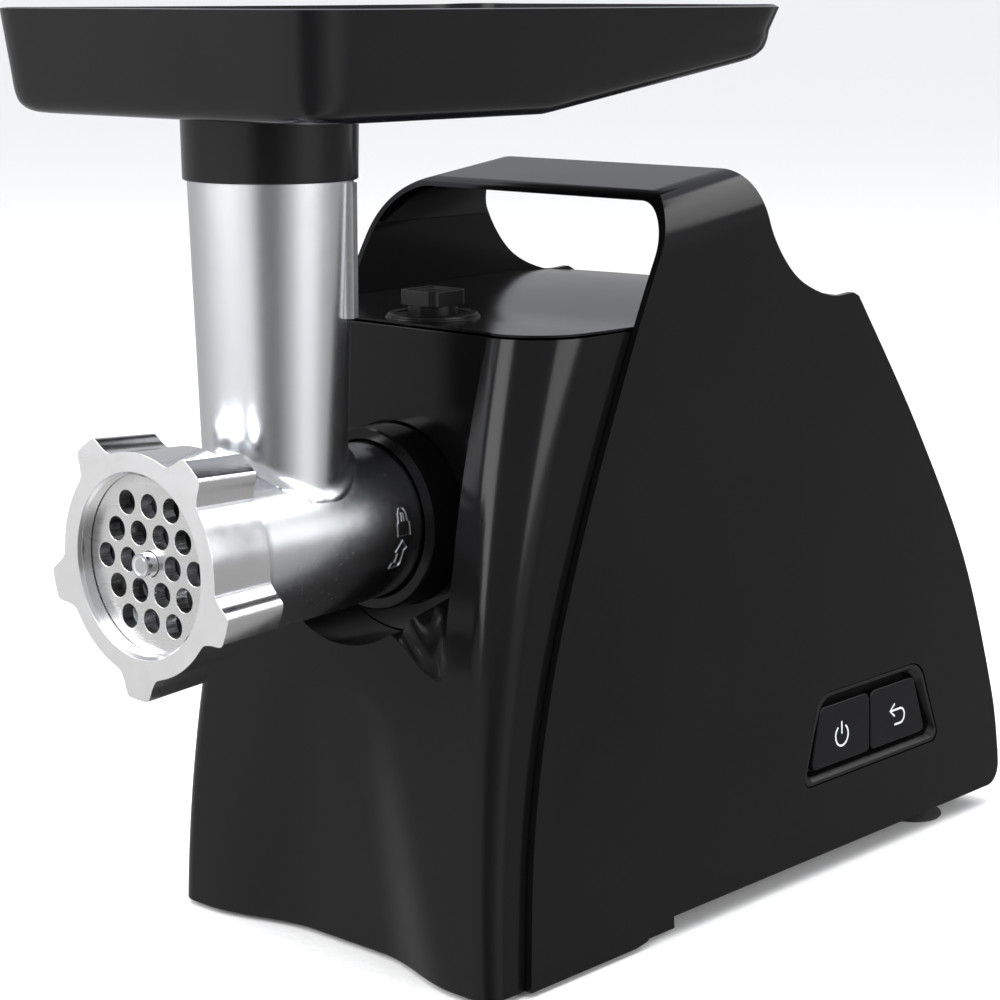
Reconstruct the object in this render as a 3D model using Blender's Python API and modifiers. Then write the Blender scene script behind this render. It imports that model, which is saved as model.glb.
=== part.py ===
"""Electric meat grinder: moulded housing, three-stage gearbox, series motor, bayonet head and loading tray.

The front of the machine faces -Y, +X is the side with the switches, +Z is up and z = 0 is the table.
Sizes in the script are millimetres and are turned into metres when a mesh is made.
"""
import math

import bmesh
import bpy
from mathutils import Matrix, Vector

MM = 0.001

# Housing
WALL = 2.6
SIDE_FOOT = 83.0            # half width of the side panels at the table
SIDE_LEAN = 0.043           # how far the panels lean in for each unit of height
PANEL_BOTTOM = 2.0
BODY_BOTTOM = 8.2           # lower edge of the panels behind the front foot
HANDLE_FRONT, HANDLE_REAR = 2.6, 38.6
HANDLE_TOP = 268.6
HANDLE_SLOPE = 0.136
HANDLE_BEND = 20.0
FASCIA_SIDE = 80.0          # half width of the fascia at the table, inside the panels
FASCIA_FOOT = -117.4        # y of its front at the table
FASCIA_RAKE = 36.4          # how far the front has moved back at the deck
DECK = 222.8
SEAM = 0.4
SCOOP_TOP, SCOOP_FLOOR_TOP, SCOOP_FLOOR_FOOT = 99.0, -110.3, -107.4
BASE_BOTTOM = 6.0

# Head, on an axis along Y
AXIS = 155.0
NUT_FACE, NUT_BACK, NUT_LIP = -198.4, -173.4, 5.0
NUT_RADIUS, NUT_MOUTH, NUT_THREAD = 37.5, 29.9, 34.4
PLATE_RADIUS, PLATE_THICK = 31.0, 5.0
HOLE_RADIUS, HOLE_PITCH = 4.0, 11.0
BARREL_FRONT, BARREL_BORE, HUB_RADIUS = -189.8, 26.0, 27.4
TUBE_Y, TUBE_TOP = -137.4, 277.0
BAY_BACK, BAY_RADIUS, BAY_TOP_HALF, BAY_FLARE = -79.5, 42.8, 46.5, 8.5
UNLOCK = 40.0
RELEASE_TRAVEL = 2.5
LUG_ANGLES = (90.0, 210.0, 330.0)

# Tray
RIM, TRAY_HALF, TRAY_FRONT, TRAY_REAR, TRAY_CORNER = 332.0, 79.4, -194.6, 47.4, 18.0
TRAY_FLOOR, TRAY_RISE_FROM, TRAY_RISE = 297.4, -80.0, 0.14

# Gear train: heights of the axes follow from the tooth numbers
OUTPUT_TEETH, OUTPUT_MODULE = 40, 1.5
SECOND_TEETH, SECOND_MODULE = 40, 1.25
FIRST_TEETH, FIRST_MODULE = 45, 1.0
PINION_TEETH, MOTOR_TEETH = 10, 9
SECOND_Z = AXIS - OUTPUT_MODULE * (OUTPUT_TEETH + PINION_TEETH) / 2
FIRST_Z = SECOND_Z - SECOND_MODULE * (SECOND_TEETH + PINION_TEETH) / 2
MOTOR_Z = FIRST_Z - FIRST_MODULE * (FIRST_TEETH + MOTOR_TEETH) / 2
PRESSURE = math.radians(25)
SHAFT, SHAFT_BORE = 4.0, 4.3

# Switches, in the plane of the right panel, with depths measured inwards from its face
BUTTON_SPLIT, BUTTON_LOW, BUTTON_HIGH = 105.0, 42.0, 66.0
CAP_FACE, CAP_BACK, BUTTON_TRAVEL = 1.0, 4.1, 2.5
WELL_DEPTH = CAP_BACK + BUTTON_TRAVEL + 0.4
BEZEL_BACK = WELL_DEPTH + 2.4
STEM_END = BEZEL_BACK + 2.6
SWITCH_FACE = STEM_END + BUTTON_TRAVEL + 0.4
SWITCH_BACK = SWITCH_FACE + 6.0

for old in list(bpy.data.objects):
    bpy.data.objects.remove(old)

parts = bpy.data.collections.new("meat_grinder")
cutters = bpy.data.collections.new("cutters")
for group in (parts, cutters):
    bpy.context.scene.collection.children.link(group)


def material(name, colour, roughness, metallic=0.0):
    made = bpy.data.materials.new(name)
    made.use_nodes = True
    shader = made.node_tree.nodes["Principled BSDF"]
    shader.inputs["Base Color"].default_value = (*colour, 1.0)
    shader.inputs["Roughness"].default_value = roughness
    shader.inputs["Metallic"].default_value = metallic
    return made


GLOSS = material("piano_black", (0.012, 0.012, 0.013), 0.12)
SATIN = material("satin_black", (0.02, 0.02, 0.022), 0.38)
RUBBER = material("rubber", (0.015, 0.015, 0.015), 0.8)
CAST = material("polished_aluminium", (0.72, 0.72, 0.73), 0.22, 1.0)
STEEL = material("steel", (0.62, 0.62, 0.63), 0.28, 1.0)
NYLON = material("nylon", (0.82, 0.8, 0.74), 0.5)
COPPER = material("copper", (0.6, 0.24, 0.1), 0.35, 1.0)
CORE = material("lamination", (0.2, 0.2, 0.22), 0.5, 1.0)
BOARD = material("board", (0.03, 0.18, 0.06), 0.5)
CARBON = material("carbon", (0.03, 0.03, 0.035), 0.6)


def add(name, mesh, finish=None):
    """Put a mesh in the model, or among the cutters when it has no finish."""
    made = bpy.data.objects.new(name, mesh)
    if finish is None:
        cutters.objects.link(made)
        made.hide_render = True
        made.display_type = "WIRE"
    else:
        parts.objects.link(made)
        mesh.materials.append(finish)
        mesh.shade_smooth()
        mesh.set_sharp_from_angle(angle=math.radians(35))
    return made


def from_bmesh(name, bm, finish=None):
    bmesh.ops.scale(bm, vec=(MM, MM, MM), verts=bm.verts)
    mesh = bpy.data.meshes.new(name)
    bm.to_mesh(mesh)
    bm.free()
    return add(name, mesh, finish)


def box(name, low, high, finish=None):
    bm = bmesh.new()
    size = [b - a for a, b in zip(low, high)]
    middle = [(a + b) / 2 for a, b in zip(low, high)]
    bmesh.ops.create_cube(bm, size=1.0, matrix=Matrix.Translation(middle) @ Matrix.Diagonal((*size, 1.0)))
    return from_bmesh(name, bm, finish)


TURN = {
    "X": Matrix(((0, 0, 1, 0), (1, 0, 0, 0), (0, 1, 0, 0), (0, 0, 0, 1))),
    "Y": Matrix(((1, 0, 0, 0), (0, 0, 1, 0), (0, -1, 0, 0), (0, 0, 0, 1))),
    "Z": Matrix.Identity(4),
}


def rod(name, radius, start, length, axis="Y", finish=None, end_radius=None, segments=28):
    """A cylinder or cone from its start point, length mm along an axis."""
    bm = bmesh.new()
    end_radius = radius if end_radius is None else end_radius
    place = Matrix.Translation(start) @ TURN[axis] @ Matrix.Translation((0, 0, length / 2))
    bmesh.ops.create_cone(bm, cap_ends=True, segments=segments, radius1=radius, radius2=end_radius,
                          depth=length, matrix=place)
    return from_bmesh(name, bm, finish)


def turned(name, profile, finish=None, centre=(0.0, 0.0, AXIS), axis="Y", steps=32):
    """A closed ring profile of (radius, place along the axis), turned about the axis."""
    bm = bmesh.new()
    area = sum(a[0] * b[1] - b[0] * a[1] for a, b in zip(profile, profile[1:] + profile[:1]))
    ordered = profile if area > 0 else profile[::-1]
    corners = [bm.verts.new((radius, 0.0, along)) for radius, along in ordered]
    on_axis = [radius == 0 for radius, _ in ordered]
    for i, corner in enumerate(corners):
        j = (i + 1) % len(corners)
        if not (on_axis[i] and on_axis[j]):
            bm.edges.new((corners[j], corner))
    bmesh.ops.scale(bm, vec=(MM, MM, MM), verts=bm.verts)
    mesh = bpy.data.meshes.new(name)
    bm.to_mesh(mesh)
    bm.free()
    made = add(name, mesh, finish)
    made.matrix_world = Matrix.Translation(Vector(centre) * MM) @ TURN[axis]
    screw = made.modifiers.new("turn", "SCREW")
    screw.steps = screw.render_steps = steps
    screw.use_merge_vertices = True
    screw.merge_threshold = 0.00001
    return made


def prism(name, outlines, low, high, axis, finish=None):
    """Flat outlines, the first the rim and the others holes, made solid between two places."""
    curve = bpy.data.curves.new(name, "CURVE")
    curve.dimensions = "2D"
    curve.fill_mode = "BOTH"
    curve.extrude = (high - low) / 2
    for outline in outlines:
        spline = curve.splines.new("POLY")
        spline.points.add(len(outline) - 1)
        for point, (a, b) in zip(spline.points, outline):
            point.co = (a, b, 0.0, 1.0)
        spline.use_cyclic_u = True
    holder = bpy.data.objects.new(name, curve)
    bpy.context.scene.collection.objects.link(holder)
    shape = holder.evaluated_get(bpy.context.evaluated_depsgraph_get())
    mesh = bpy.data.meshes.new_from_object(shape)
    bpy.data.objects.remove(holder)
    flat = {"X": TURN["X"], "Y": Matrix(((1, 0, 0, 0), (0, 0, -1, 0), (0, 1, 0, 0), (0, 0, 0, 1))),
            "Z": TURN["Z"]}[axis]
    middle = (low + high) / 2 * Vector([float(axis == letter) for letter in "XYZ"])
    mesh.transform(Matrix.Scale(MM, 4) @ Matrix.Translation(middle) @ flat)
    bm = bmesh.new()
    bm.from_mesh(mesh)
    bmesh.ops.remove_doubles(bm, verts=bm.verts, dist=0.000001)
    bmesh.ops.recalc_face_normals(bm, faces=bm.faces)
    bm.to_mesh(mesh)
    bm.free()
    mesh.materials.clear()
    return add(name, mesh, finish)


def loft(name, rings, finish=None):
    """A solid through closed rings that all have the same number of points."""
    bm = bmesh.new()
    rows = [[bm.verts.new(point) for point in ring] for ring in rings]
    for row, following in zip(rows, rows[1:]):
        for i in range(len(row)):
            j = (i + 1) % len(row)
            bm.faces.new((row[i], row[j], following[j], following[i]))
    bm.faces.new(rows[0][::-1])
    bm.faces.new(rows[-1])
    bmesh.ops.recalc_face_normals(bm, faces=bm.faces)
    return from_bmesh(name, bm, finish)


def sheet(name, rows, thickness, finish, closed=False):
    """An open surface through rows of points, thickened to one side."""
    bm = bmesh.new()
    grid = [[bm.verts.new(point) for point in row] for row in rows]
    for row, following in zip(grid, grid[1:]):
        for i in range(len(row) if closed else len(row) - 1):
            j = (i + 1) % len(row)
            bm.faces.new((row[i], row[j], following[j], following[i]))
    made = from_bmesh(name, bm, finish)
    thick = made.modifiers.new("wall", "SOLIDIFY")
    thick.thickness = thickness * MM
    thick.offset = -1.0
    thick.use_even_offset = True
    return made


def boolean(target, tool, operation):
    step = target.modifiers.new(operation.lower(), "BOOLEAN")
    step.operation = operation
    step.solver = "EXACT"
    step.object = tool
    return target


def cut(target, *tools):
    for tool in tools:
        boolean(target, tool, "DIFFERENCE")
    return target


def join(target, *tools):
    for tool in tools:
        boolean(target, tool, "UNION")
    return target


def smooth(points, steps=4):
    """A curve through the points, with a few points of its own between them (Catmull-Rom)."""
    ends = [points[0], *points, points[-1]]
    curve = []
    for a, b, c, d in zip(ends, ends[1:], ends[2:], ends[3:]):
        for i in range(steps):
            t = i / steps
            curve.append(tuple(
                0.5 * (2 * q + (r - p) * t + (2 * p - 5 * q + 4 * r - s) * t ** 2
                       + (3 * q - p - 3 * r + s) * t ** 3)
                for p, q, r, s in zip(a, b, c, d)))
    return curve + [points[-1]]


def arc(centre, radius, start, end, steps):
    """Points on an arc, in degrees from the first axis of the plane towards the second."""
    angles = [math.radians(start + (end - start) * i / steps) for i in range(steps + 1)]
    return [(centre[0] + radius * math.cos(a), centre[1] + radius * math.sin(a)) for a in angles]


def circle(centre, radius, steps):
    return arc(centre, radius, 0, 360 - 360 / steps, steps - 1)


# ---- housing ---------------------------------------------------------------------------------

def side_outline():
    """The side panels' outline as (y, z), from the front foot round to the handle."""
    foot = [(-99.7, PANEL_BOTTOM), (-43, PANEL_BOTTOM), (-37, 3.0), (-33.5, 5.6), (-28.4, BODY_BOTTOM)]
    heel = arc((190.3, 16.2), 8.0, -90, 0, 4)
    rear = smooth([(198.0, 22), (192.6, 51), (171.8, 109.5), (137.6, 168), (98.5, 223.0)])
    saddle = smooth([(95.0, 224.6), (78.6, 225.0), (58.0, 234.0), (43.5, 252.0), (38.6, 274.0)])
    front = smooth([(HANDLE_FRONT, 270.0), (-9.5, 263.5), (-20.0, 249.0), (-39.1, 213.0), (-63.5, 161.0),
                    (-83.5, 109.0), (-95.3, 57.0), (-99.7, PANEL_BOTTOM)])
    return foot + heel + rear + saddle + [(HANDLE_REAR, 292.0), (HANDLE_FRONT, 292.0)] + front[:-1]


def arch(y, inset):
    """The hoop's cross-section at y: up the left panel, over the handle and down the right one."""
    top = HANDLE_TOP + HANDLE_SLOPE * (y - HANDLE_FRONT) - inset
    radius = HANDLE_BEND - inset
    lean = math.atan(SIDE_LEAN)
    centre_z = top - radius
    centre_x = SIDE_FOOT - SIDE_LEAN * centre_z - (inset + radius) / math.cos(lean)
    bend = arc((centre_x, centre_z), radius, math.degrees(lean), 90, 6)
    right = [(SIDE_FOOT - inset / math.cos(lean) - SIDE_LEAN * z, z) for z in (-2.0, 120.0)] + bend
    return [(-x, y, z) for x, z in right] + [(x, y, z) for x, z in right[::-1]]


def hoop(name, inset, thickness, finish):
    return sheet(name, [arch(-130.0, inset), arch(230.0, inset)], thickness, finish)


def on_panel(made):
    """Tilt a piece made against the plane x = 0 onto the outside of the right panel."""
    made.matrix_world = (Matrix.Translation((SIDE_FOOT * MM, 0, 0))
                         @ Matrix.Rotation(-math.atan(SIDE_LEAN), 4, "Y") @ made.matrix_world)
    return made


def switch_outline(inset):
    """The rounded trapezoid round the switches, as (y, height up the panel)."""
    low, high = 36.5 + inset, 72.0 - inset
    left = arc((63.4 + inset, low + 4), 4, 270, 180, 3) + arc((76.0 + inset, high - 9), 9, 165, 90, 4)
    right = arc((133.0 - inset, high - 10), 10, 90, 20, 4) + arc((147.5 - inset, low + 4), 4, 0, -90, 3)
    return left + right


def side_cover():
    made = hoop("side_cover", 0.0, WALL, GLOSS)
    boolean(made, prism("side_outline", [side_outline()], -100, 100, "X"), "INTERSECT")
    cut(made, on_panel(prism("switch_hole", [switch_outline(0.0)], -8, 3, "X")))


def handle_liner():
    made = hoop("handle_liner", WALL + 0.3, 1.5, SATIN)
    region = [(-17.0, 250.0), (3.6, 268.0), (3.6, 290.0), (37.6, 290.0), (37.6, 272.0), (42.0, 250.0)]
    boolean(made, prism("liner_region", [region], -100, 100, "X"), "INTERSECT")


def front_y(z):
    return FASCIA_FOOT + FASCIA_RAKE * ((z - PANEL_BOTTOM) / (DECK - PANEL_BOTTOM)) ** 2


def scoop(x, z):
    """How far the hollow under the head sinks into the front, fading out at its arched edge."""
    z = max(z, PANEL_BOTTOM)
    share = (z - PANEL_BOTTOM) / (SCOOP_TOP - PANEL_BOTTOM)
    if share >= 1:
        return 0.0
    depth = SCOOP_FLOOR_FOOT + (SCOOP_FLOOR_TOP - SCOOP_FLOOR_FOOT) * share - front_y(z)
    half = 44.0 - 0.226 * (z - PANEL_BOTTOM)
    if z > 83:
        half = 25.7 * math.sqrt(max(0.0, 1 - ((z - 83) / 16) ** 2))
    reach = min(max((abs(x) / max(half, 0.1) - 0.4) / 1.05, 0.0), 1.0)
    return max(depth, 0.0) * 0.5 * (1 + math.cos(math.pi * reach))


def plan(z, inset, back):
    """The body's outline from above at height z, open corners rounded, straight across at the back."""
    half = FASCIA_SIDE - SIDE_LEAN * z - inset
    front = front_y(z) + inset
    radius = 8.5 + 15.5 * (z / DECK) ** 2 - inset
    shares = (0.0, 0.18, 0.36, 0.52, 0.68, 0.84)
    right = [(share * (half - radius), front + scoop(share * (half - radius), z)) for share in shares]
    right += arc((half - radius, front + radius), radius, -90, 0, 5) + [(half, back)]
    ring = [(-x, y) for x, y in right[:0:-1]] + right
    return [(x, y, z) for x, y in ring]


FASCIA_LEVELS = (20, 40, 60, 78, 90, 99, 112, 140, 168, 195)


def body_block(name, inset, bottom, top, back):
    levels = [bottom] + [z for z in FASCIA_LEVELS if bottom < z < top] + [top]
    return loft(name, [plan(z, inset, back) for z in levels])


def bay_block(name, extra, back):
    """The recess that the head stands in: a U about the head's axis, with sides that flare forwards."""
    rings = []
    for y, share in ((back, 0.0), (-112.0, 1.0), (-200.0, 1.0)):
        top = BAY_TOP_HALF + extra + 3.0 * share
        ring = [(top, y, 245.0), (-top, y, 245.0)]
        for i in range(17):
            angle = math.radians(180 + 180 * i / 16)
            radius = BAY_RADIUS + extra + BAY_FLARE * share * abs(math.cos(angle)) ** 1.5
            ring.append((radius * math.cos(angle), y, AXIS + radius * math.sin(angle)))
        rings.append(ring)
    return loft(name, rings)


def front_fascia():
    top = DECK - WALL - SEAM
    made = body_block("front_fascia", 0.0, PANEL_BOTTOM, top, -18.0)
    made.hide_render = False
    made.display_type = "TEXTURED"
    cutters.objects.unlink(made)
    parts.objects.link(made)
    made.data.materials.append(GLOSS)
    hollow = body_block("fascia_hollow", WALL, -6.0, 232.0, -8.0)
    cut(hollow, bay_block("bay_wall", WALL, BAY_BACK + WALL))
    cut(made, hollow, bay_block("bay_void", 0.0, BAY_BACK),
        rod("socket_hole", 33.0, (0, -90, AXIS), 30, segments=32))


def top_cover():
    """Deck and back in one sheet that runs between the side panels."""
    back = smooth([(95.8, 221.2), (134.6, 168.0), (168.9, 109.5), (189.6, 51.0), (194.6, 20.0)])
    path = smooth([(-92.0, DECK), (-30.0, DECK), (20.0, 225.0), (60.0, 225.6), (92.0, 223.4)], 3) + back
    crown = {-1.0: -1.0, -0.5: -0.2, 0.0: 0.0, 0.5: -0.2, 1.0: -1.0}
    rows = [[(share * 88.0, y, z + (crown[share] if -20 < y < 92 else 0.0)) for share in crown]
            for y, z in path]
    made = sheet("top_cover", rows, WALL, GLOSS)
    boolean(made, body_block("cover_region", 0.0, -4.0, 232.0, 205.0), "INTERSECT")
    cut(made, bpy.data.objects["bay_void"], rod("guide_hole", 14.4, (0, -60.4, 200), 40, "Z"),
        rod("cord_hole", 7.2, (0, 170, 40), 40, segments=16))


def base_pan():
    plan_low = [(x, y) for x, y, _ in plan(10.0, WALL + SEAM + 0.6, 190.0)]
    made = prism("base_pan", [plan_low], BASE_BOTTOM, 17.0, "Z", SATIN)
    inner = [(x, y) for x, y, _ in plan(10.0, 2 * WALL + SEAM, 187.6)]
    vents = [box(f"vent_{i}", (-26, 62 + 9 * i, 0), (26, 66 + 9 * i, 10)) for i in range(5)]
    cut(made, prism("pan_hollow", [inner], BASE_BOTTOM + 2.4, 30.0, "Z"), *vents)
    for side in (-1, 1):
        for y in (-60.0, 140.0):
            cut(made, rod("screw_hole", 2.2, (side * 40, y, 0), 20, "Z", segments=12))


def feet():
    for end, y, x in (("front", -92.0, 60.0), ("rear", 157.6, 66.0)):
        for side, sign in (("left", -1), ("right", 1)):
            top = BASE_BOTTOM - 0.3
            foot = [(0, 0), (12.5, 0), (12.2, 1.4), (9.6, 3.4), (9.2, top), (0, top)]
            turned(f"foot_{end}_{side}", foot, RUBBER, (sign * x, y, 0), "Z", 24)


def base_screws():
    for end, y in (("front", -60.0), ("rear", 140.0)):
        for side, sign in (("left", -1), ("right", 1)):
            head = [(0, 3.4), (3.8, 3.4), (3.8, 5.7), (1.9, 5.7), (1.9, 19.0), (0, 19.0)]
            turned(f"base_screw_{end}_{side}", head, STEEL, (sign * 40, y, 0), "Z", 16)


# ---- release button ----------------------------------------------------------------------------

def release():
    centre = (0.0, -60.4, 0.0)
    seat = DECK + SEAM
    turned("release_guide", [(9.2, 213.0), (13.8, 213.0), (13.8, seat), (17.0, seat), (17.0, seat + 1.4),
                             (16.2, seat + 2.0), (13.6, seat + 2.0), (13.6, seat + 1.2), (9.2, seat + 1.2)],
           SATIN, centre, "Z")
    underside = seat + 2.0 + RELEASE_TRAVEL + 0.1
    made = box("release_button", (-12.0, -72.4, underside), (12.0, -48.4, 233.6), SATIN)
    corners = made.modifiers.new("corners", "BEVEL")
    corners.width = 3.0 * MM
    corners.segments = 3
    join(made, rod("release_stem", 8.8, (0, -60.4, 209.0), 20.0, "Z"),
         rod("lock_pin", 3.0, (0, -60.4, 194.0), 16.0, "Z", segments=16))
    coil = bpy.data.curves.new("release_spring", "CURVE")
    coil.dimensions = "3D"
    coil.bevel_depth = 0.5 * MM
    coil.bevel_resolution = 1
    coil.use_fill_caps = True
    spline = coil.splines.new("POLY")
    turns, steps, low, high = 4, 10, 197.6, 208.2
    spline.points.add(turns * steps)
    for i, point in enumerate(spline.points):
        angle = math.tau * i / steps
        height = low + (high - low) * i / (turns * steps)
        point.co = (6 * math.cos(angle) * MM, (6 * math.sin(angle) - 60.4) * MM, height * MM, 1.0)
    made = bpy.data.objects.new("release_spring", coil)
    coil.materials.append(STEEL)
    parts.objects.link(made)


def head_socket():
    ring = [(28.2, -94.4), (32.6, -94.4), (32.6, -76.5), (40.0, -76.5), (40.0, -72.5), (36.0, -72.5),
            (36.0, -60.0), (31.4, -60.0), (31.4, -73.0), (28.2, -73.0)]
    made = turned("head_socket", ring, SATIN, steps=36)
    for i, angle in enumerate(LUG_ANGLES):
        turned_to = angle - UNLOCK
        slot = (arc((0, AXIS), 31.2, turned_to - 18, turned_to + 18, 5)
                + arc((0, AXIS), 26.0, turned_to + 18, turned_to - 18, 5))
        cut(made, prism(f"lug_slot_{i}", [slot], -100, -72, "Y"))


# ---- switches ----------------------------------------------------------------------------------

def button_outline(low_y, high_y, slant_low, slant_high):
    corner = 3.0
    return (arc((low_y + corner, BUTTON_LOW + corner), corner, 270, 180, 2)
            + arc((low_y + slant_low + corner, BUTTON_HIGH - corner), corner, 180, 90, 2)
            + arc((high_y - slant_high - corner, BUTTON_HIGH - corner), corner, 90, 0, 2)
            + arc((high_y - corner, BUTTON_LOW + corner), corner, 0, -90, 2))


def switches():
    bezel = on_panel(prism("button_bezel", [switch_outline(0.4)], -BEZEL_BACK, -0.2, "X", SATIN))
    well = on_panel(prism("bezel_well", [switch_outline(2.6)], -WELL_DEPTH, 2.0, "X"))
    cut(bezel, well)
    sides = (("on_off", 66.0, BUTTON_SPLIT - 0.4, 5.0, 0.0), ("reverse", BUTTON_SPLIT + 0.4, 143.0, 0.0, 6.0))
    for name, low_y, high_y, slant_low, slant_high in sides:
        outline = button_outline(low_y, high_y, slant_low, slant_high)
        middle = (low_y + high_y) / 2
        cap = on_panel(prism(f"{name}_button", [outline], -CAP_BACK, -CAP_FACE, "X", GLOSS))
        length = STEM_END - CAP_BACK + 1.0
        join(cap, on_panel(rod(f"{name}_stem", 4.0, (-STEM_END, middle, 53.0), length, "X", segments=16)))
        cut(bezel, on_panel(rod(f"{name}_stem_hole", 4.6, (-BEZEL_BACK - 1, middle, 53.0), 8.0, "X",
                                segments=16)))
        on_panel(box(f"{name}_switch", (-SWITCH_BACK, middle - 7, 47.0), (-SWITCH_FACE, middle + 7, 59.0),
                     CARBON))
    on_panel(box("circuit_board", (-SWITCH_BACK - 1.9, 62.0, 38.0), (-SWITCH_BACK - 0.3, 148.0, 74.0), BOARD))


# ---- gearbox -----------------------------------------------------------------------------------

def involute(angle):
    return math.tan(angle) - angle


def gear_outline(teeth, module, addendum, dedendum, phase, centre_z, levels):
    """A spur gear's outline about (0, centre_z), with straight facets between radii on the flanks."""
    pitch = module * teeth / 2
    base = pitch * math.cos(PRESSURE)
    root, tip = pitch - dedendum * module, pitch + addendum * module
    radii = [root] + [root + (tip - root) * (i + 1) / levels for i in range(levels)]
    thinning = 0.84

    def half_angle(radius):
        flank = involute(PRESSURE) - involute(math.acos(min(1.0, base / radius)))
        return thinning * math.pi / (2 * teeth) + flank

    outline = []
    for i in range(teeth):
        centre = math.radians(phase) + math.tau * i / teeth
        for side, order in ((-1, radii), (1, radii[::-1])):
            for radius in order:
                angle = centre + side * half_angle(radius)
                outline.append((radius * math.cos(angle), centre_z + radius * math.sin(angle)))
    return outline


def wheel(name, teeth, module, centre_z, low, high, finish):
    outline = gear_outline(teeth, module, 0.75, 1.3, 270 + 180 / teeth, centre_z, 1)
    return prism(name, [outline], low, high, "Y", finish)


def pinion(name, teeth, module, centre_z, low, high, finish=None):
    outline = gear_outline(teeth, module, 0.95, 1.1, 90, centre_z, 2)
    return prism(name, [outline], low, high, "Y", finish)


def case_outline(inset):
    top = arc((0, AXIS), 36.5 - inset, 0, 180, 12)
    return top + arc((0, 75.0), 28.5 - inset, 180, 360, 10)


def gearbox():
    case = prism("gearbox_case", [case_outline(0.0)], -46.0, 5.6, "Y", NYLON)
    cut(case, prism("case_hollow", [case_outline(3.0)], -43.0, 12.0, "Y"),
        rod("bush_hole", 13.3, (0, -50, AXIS), 10))
    holes = [circle((0, z), SHAFT_BORE, 16) for z in (SECOND_Z, FIRST_Z)]
    for i, z in enumerate((SECOND_Z, FIRST_Z)):
        cut(case, rod(f"case_hole_{i}", SHAFT_BORE, (0, -50, z), 10, segments=16))
    prism("gearbox_cover", [case_outline(0.0), *holes, circle((0, MOTOR_Z), 6.5, 16)], 6.0, 9.0, "Y", NYLON)
    turned("output_bush", [(9.3, -48.0), (15.0, -48.0), (15.0, -46.4), (13.0, -46.4), (13.0, -42.0),
                           (9.3, -42.0)], STEEL)

    output = wheel("output_gear", OUTPUT_TEETH, OUTPUT_MODULE, AXIS, -40.0, -26.0, NYLON)
    cut(output, rod("output_bore", 9.3, (0, -45, AXIS), 25))
    coupler = turned("output_coupler", [(0, -69.0), (14.0, -69.0), (14.0, -49.0), (9.0, -49.0), (9.0, -23.0),
                                        (0, -23.0)], STEEL)
    cut(coupler, rod("hex_socket", 9.7, (0, -80, AXIS), 28, segments=6))

    second = wheel("second_gear", SECOND_TEETH, SECOND_MODULE, SECOND_Z, -21.0, -11.0, NYLON)
    join(second, pinion("second_pinion", PINION_TEETH, OUTPUT_MODULE, SECOND_Z, -41.0, -20.0))
    cut(second, rod("second_bore", SHAFT_BORE, (0, -50, SECOND_Z), 50, segments=16))
    rod("second_shaft", SHAFT, (0, -45.5, SECOND_Z), 54.0, finish=STEEL, segments=16)

    first = wheel("first_gear", FIRST_TEETH, FIRST_MODULE, FIRST_Z, -6.0, 2.0, STEEL)
    join(first, pinion("first_pinion", PINION_TEETH, SECOND_MODULE, FIRST_Z, -22.0, -5.0))
    cut(first, rod("first_bore", SHAFT_BORE, (0, -30, FIRST_Z), 50, segments=16))
    rod("first_shaft", SHAFT, (0, -45.5, FIRST_Z), 54.0, finish=STEEL, segments=16)


# ---- motor -------------------------------------------------------------------------------------

MOTOR = (0, MOTOR_Z)
STACK = (38.0, 82.0)


def stator():
    rim = arc(MOTOR, 44.0, 25, 65, 3) + arc(MOTOR, 44.0, 115, 155, 3)
    rim += arc(MOTOR, 44.0, 205, 245, 3) + arc(MOTOR, 44.0, 295, 335, 3)
    made = prism("motor_stator", [rim], *STACK, "Y", CORE)
    cut(made, rod("stator_bore", 24.6, (0, 30, MOTOR_Z), 60),
        box("stator_window", (-34.4, 30, MOTOR_Z - 16), (34.4, 90, MOTOR_Z + 16)))


def field_coils():
    for name, start in (("top", 6), ("bottom", 186)):
        saddle = arc(MOTOR, 33.8, start, start + 168, 14) + arc(MOTOR, 26.4, start + 168, start, 14)
        made = prism(f"field_coil_{name}", [saddle], 31.0, 89.0, "Y", COPPER)
        sign = 1 if name == "top" else -1
        pole = sorted((MOTOR_Z + sign * 15.4, MOTOR_Z + sign * 60))
        cut(made, box(f"pole_gap_{name}", (-60, 37.4, pole[0]), (60, 82.6, pole[1])))


def armature():
    slots = 12
    outline = []
    for i in range(slots):
        for offset, radius in ((-11, 23.2), (11, 23.2), (12, 15.0), (18, 15.0)):
            outline += arc(MOTOR, radius, 360 * i / slots + offset, 0, 1)[:1]
    made = prism("armature", [outline], *STACK, "Y", CORE)
    for name, low, high in (("front", 32.0, 39.0), ("rear", 81.0, 88.0)):
        join(made, turned(f"overhang_{name}", [(0, low), (17, low), (20, low + 2), (20, high - 2), (17, high),
                                               (0, high)], None, (0, 0, MOTOR_Z), steps=20))
    cut(made, rod("armature_bore", SHAFT_BORE, (0, 20, MOTOR_Z), 80, segments=16))


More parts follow.
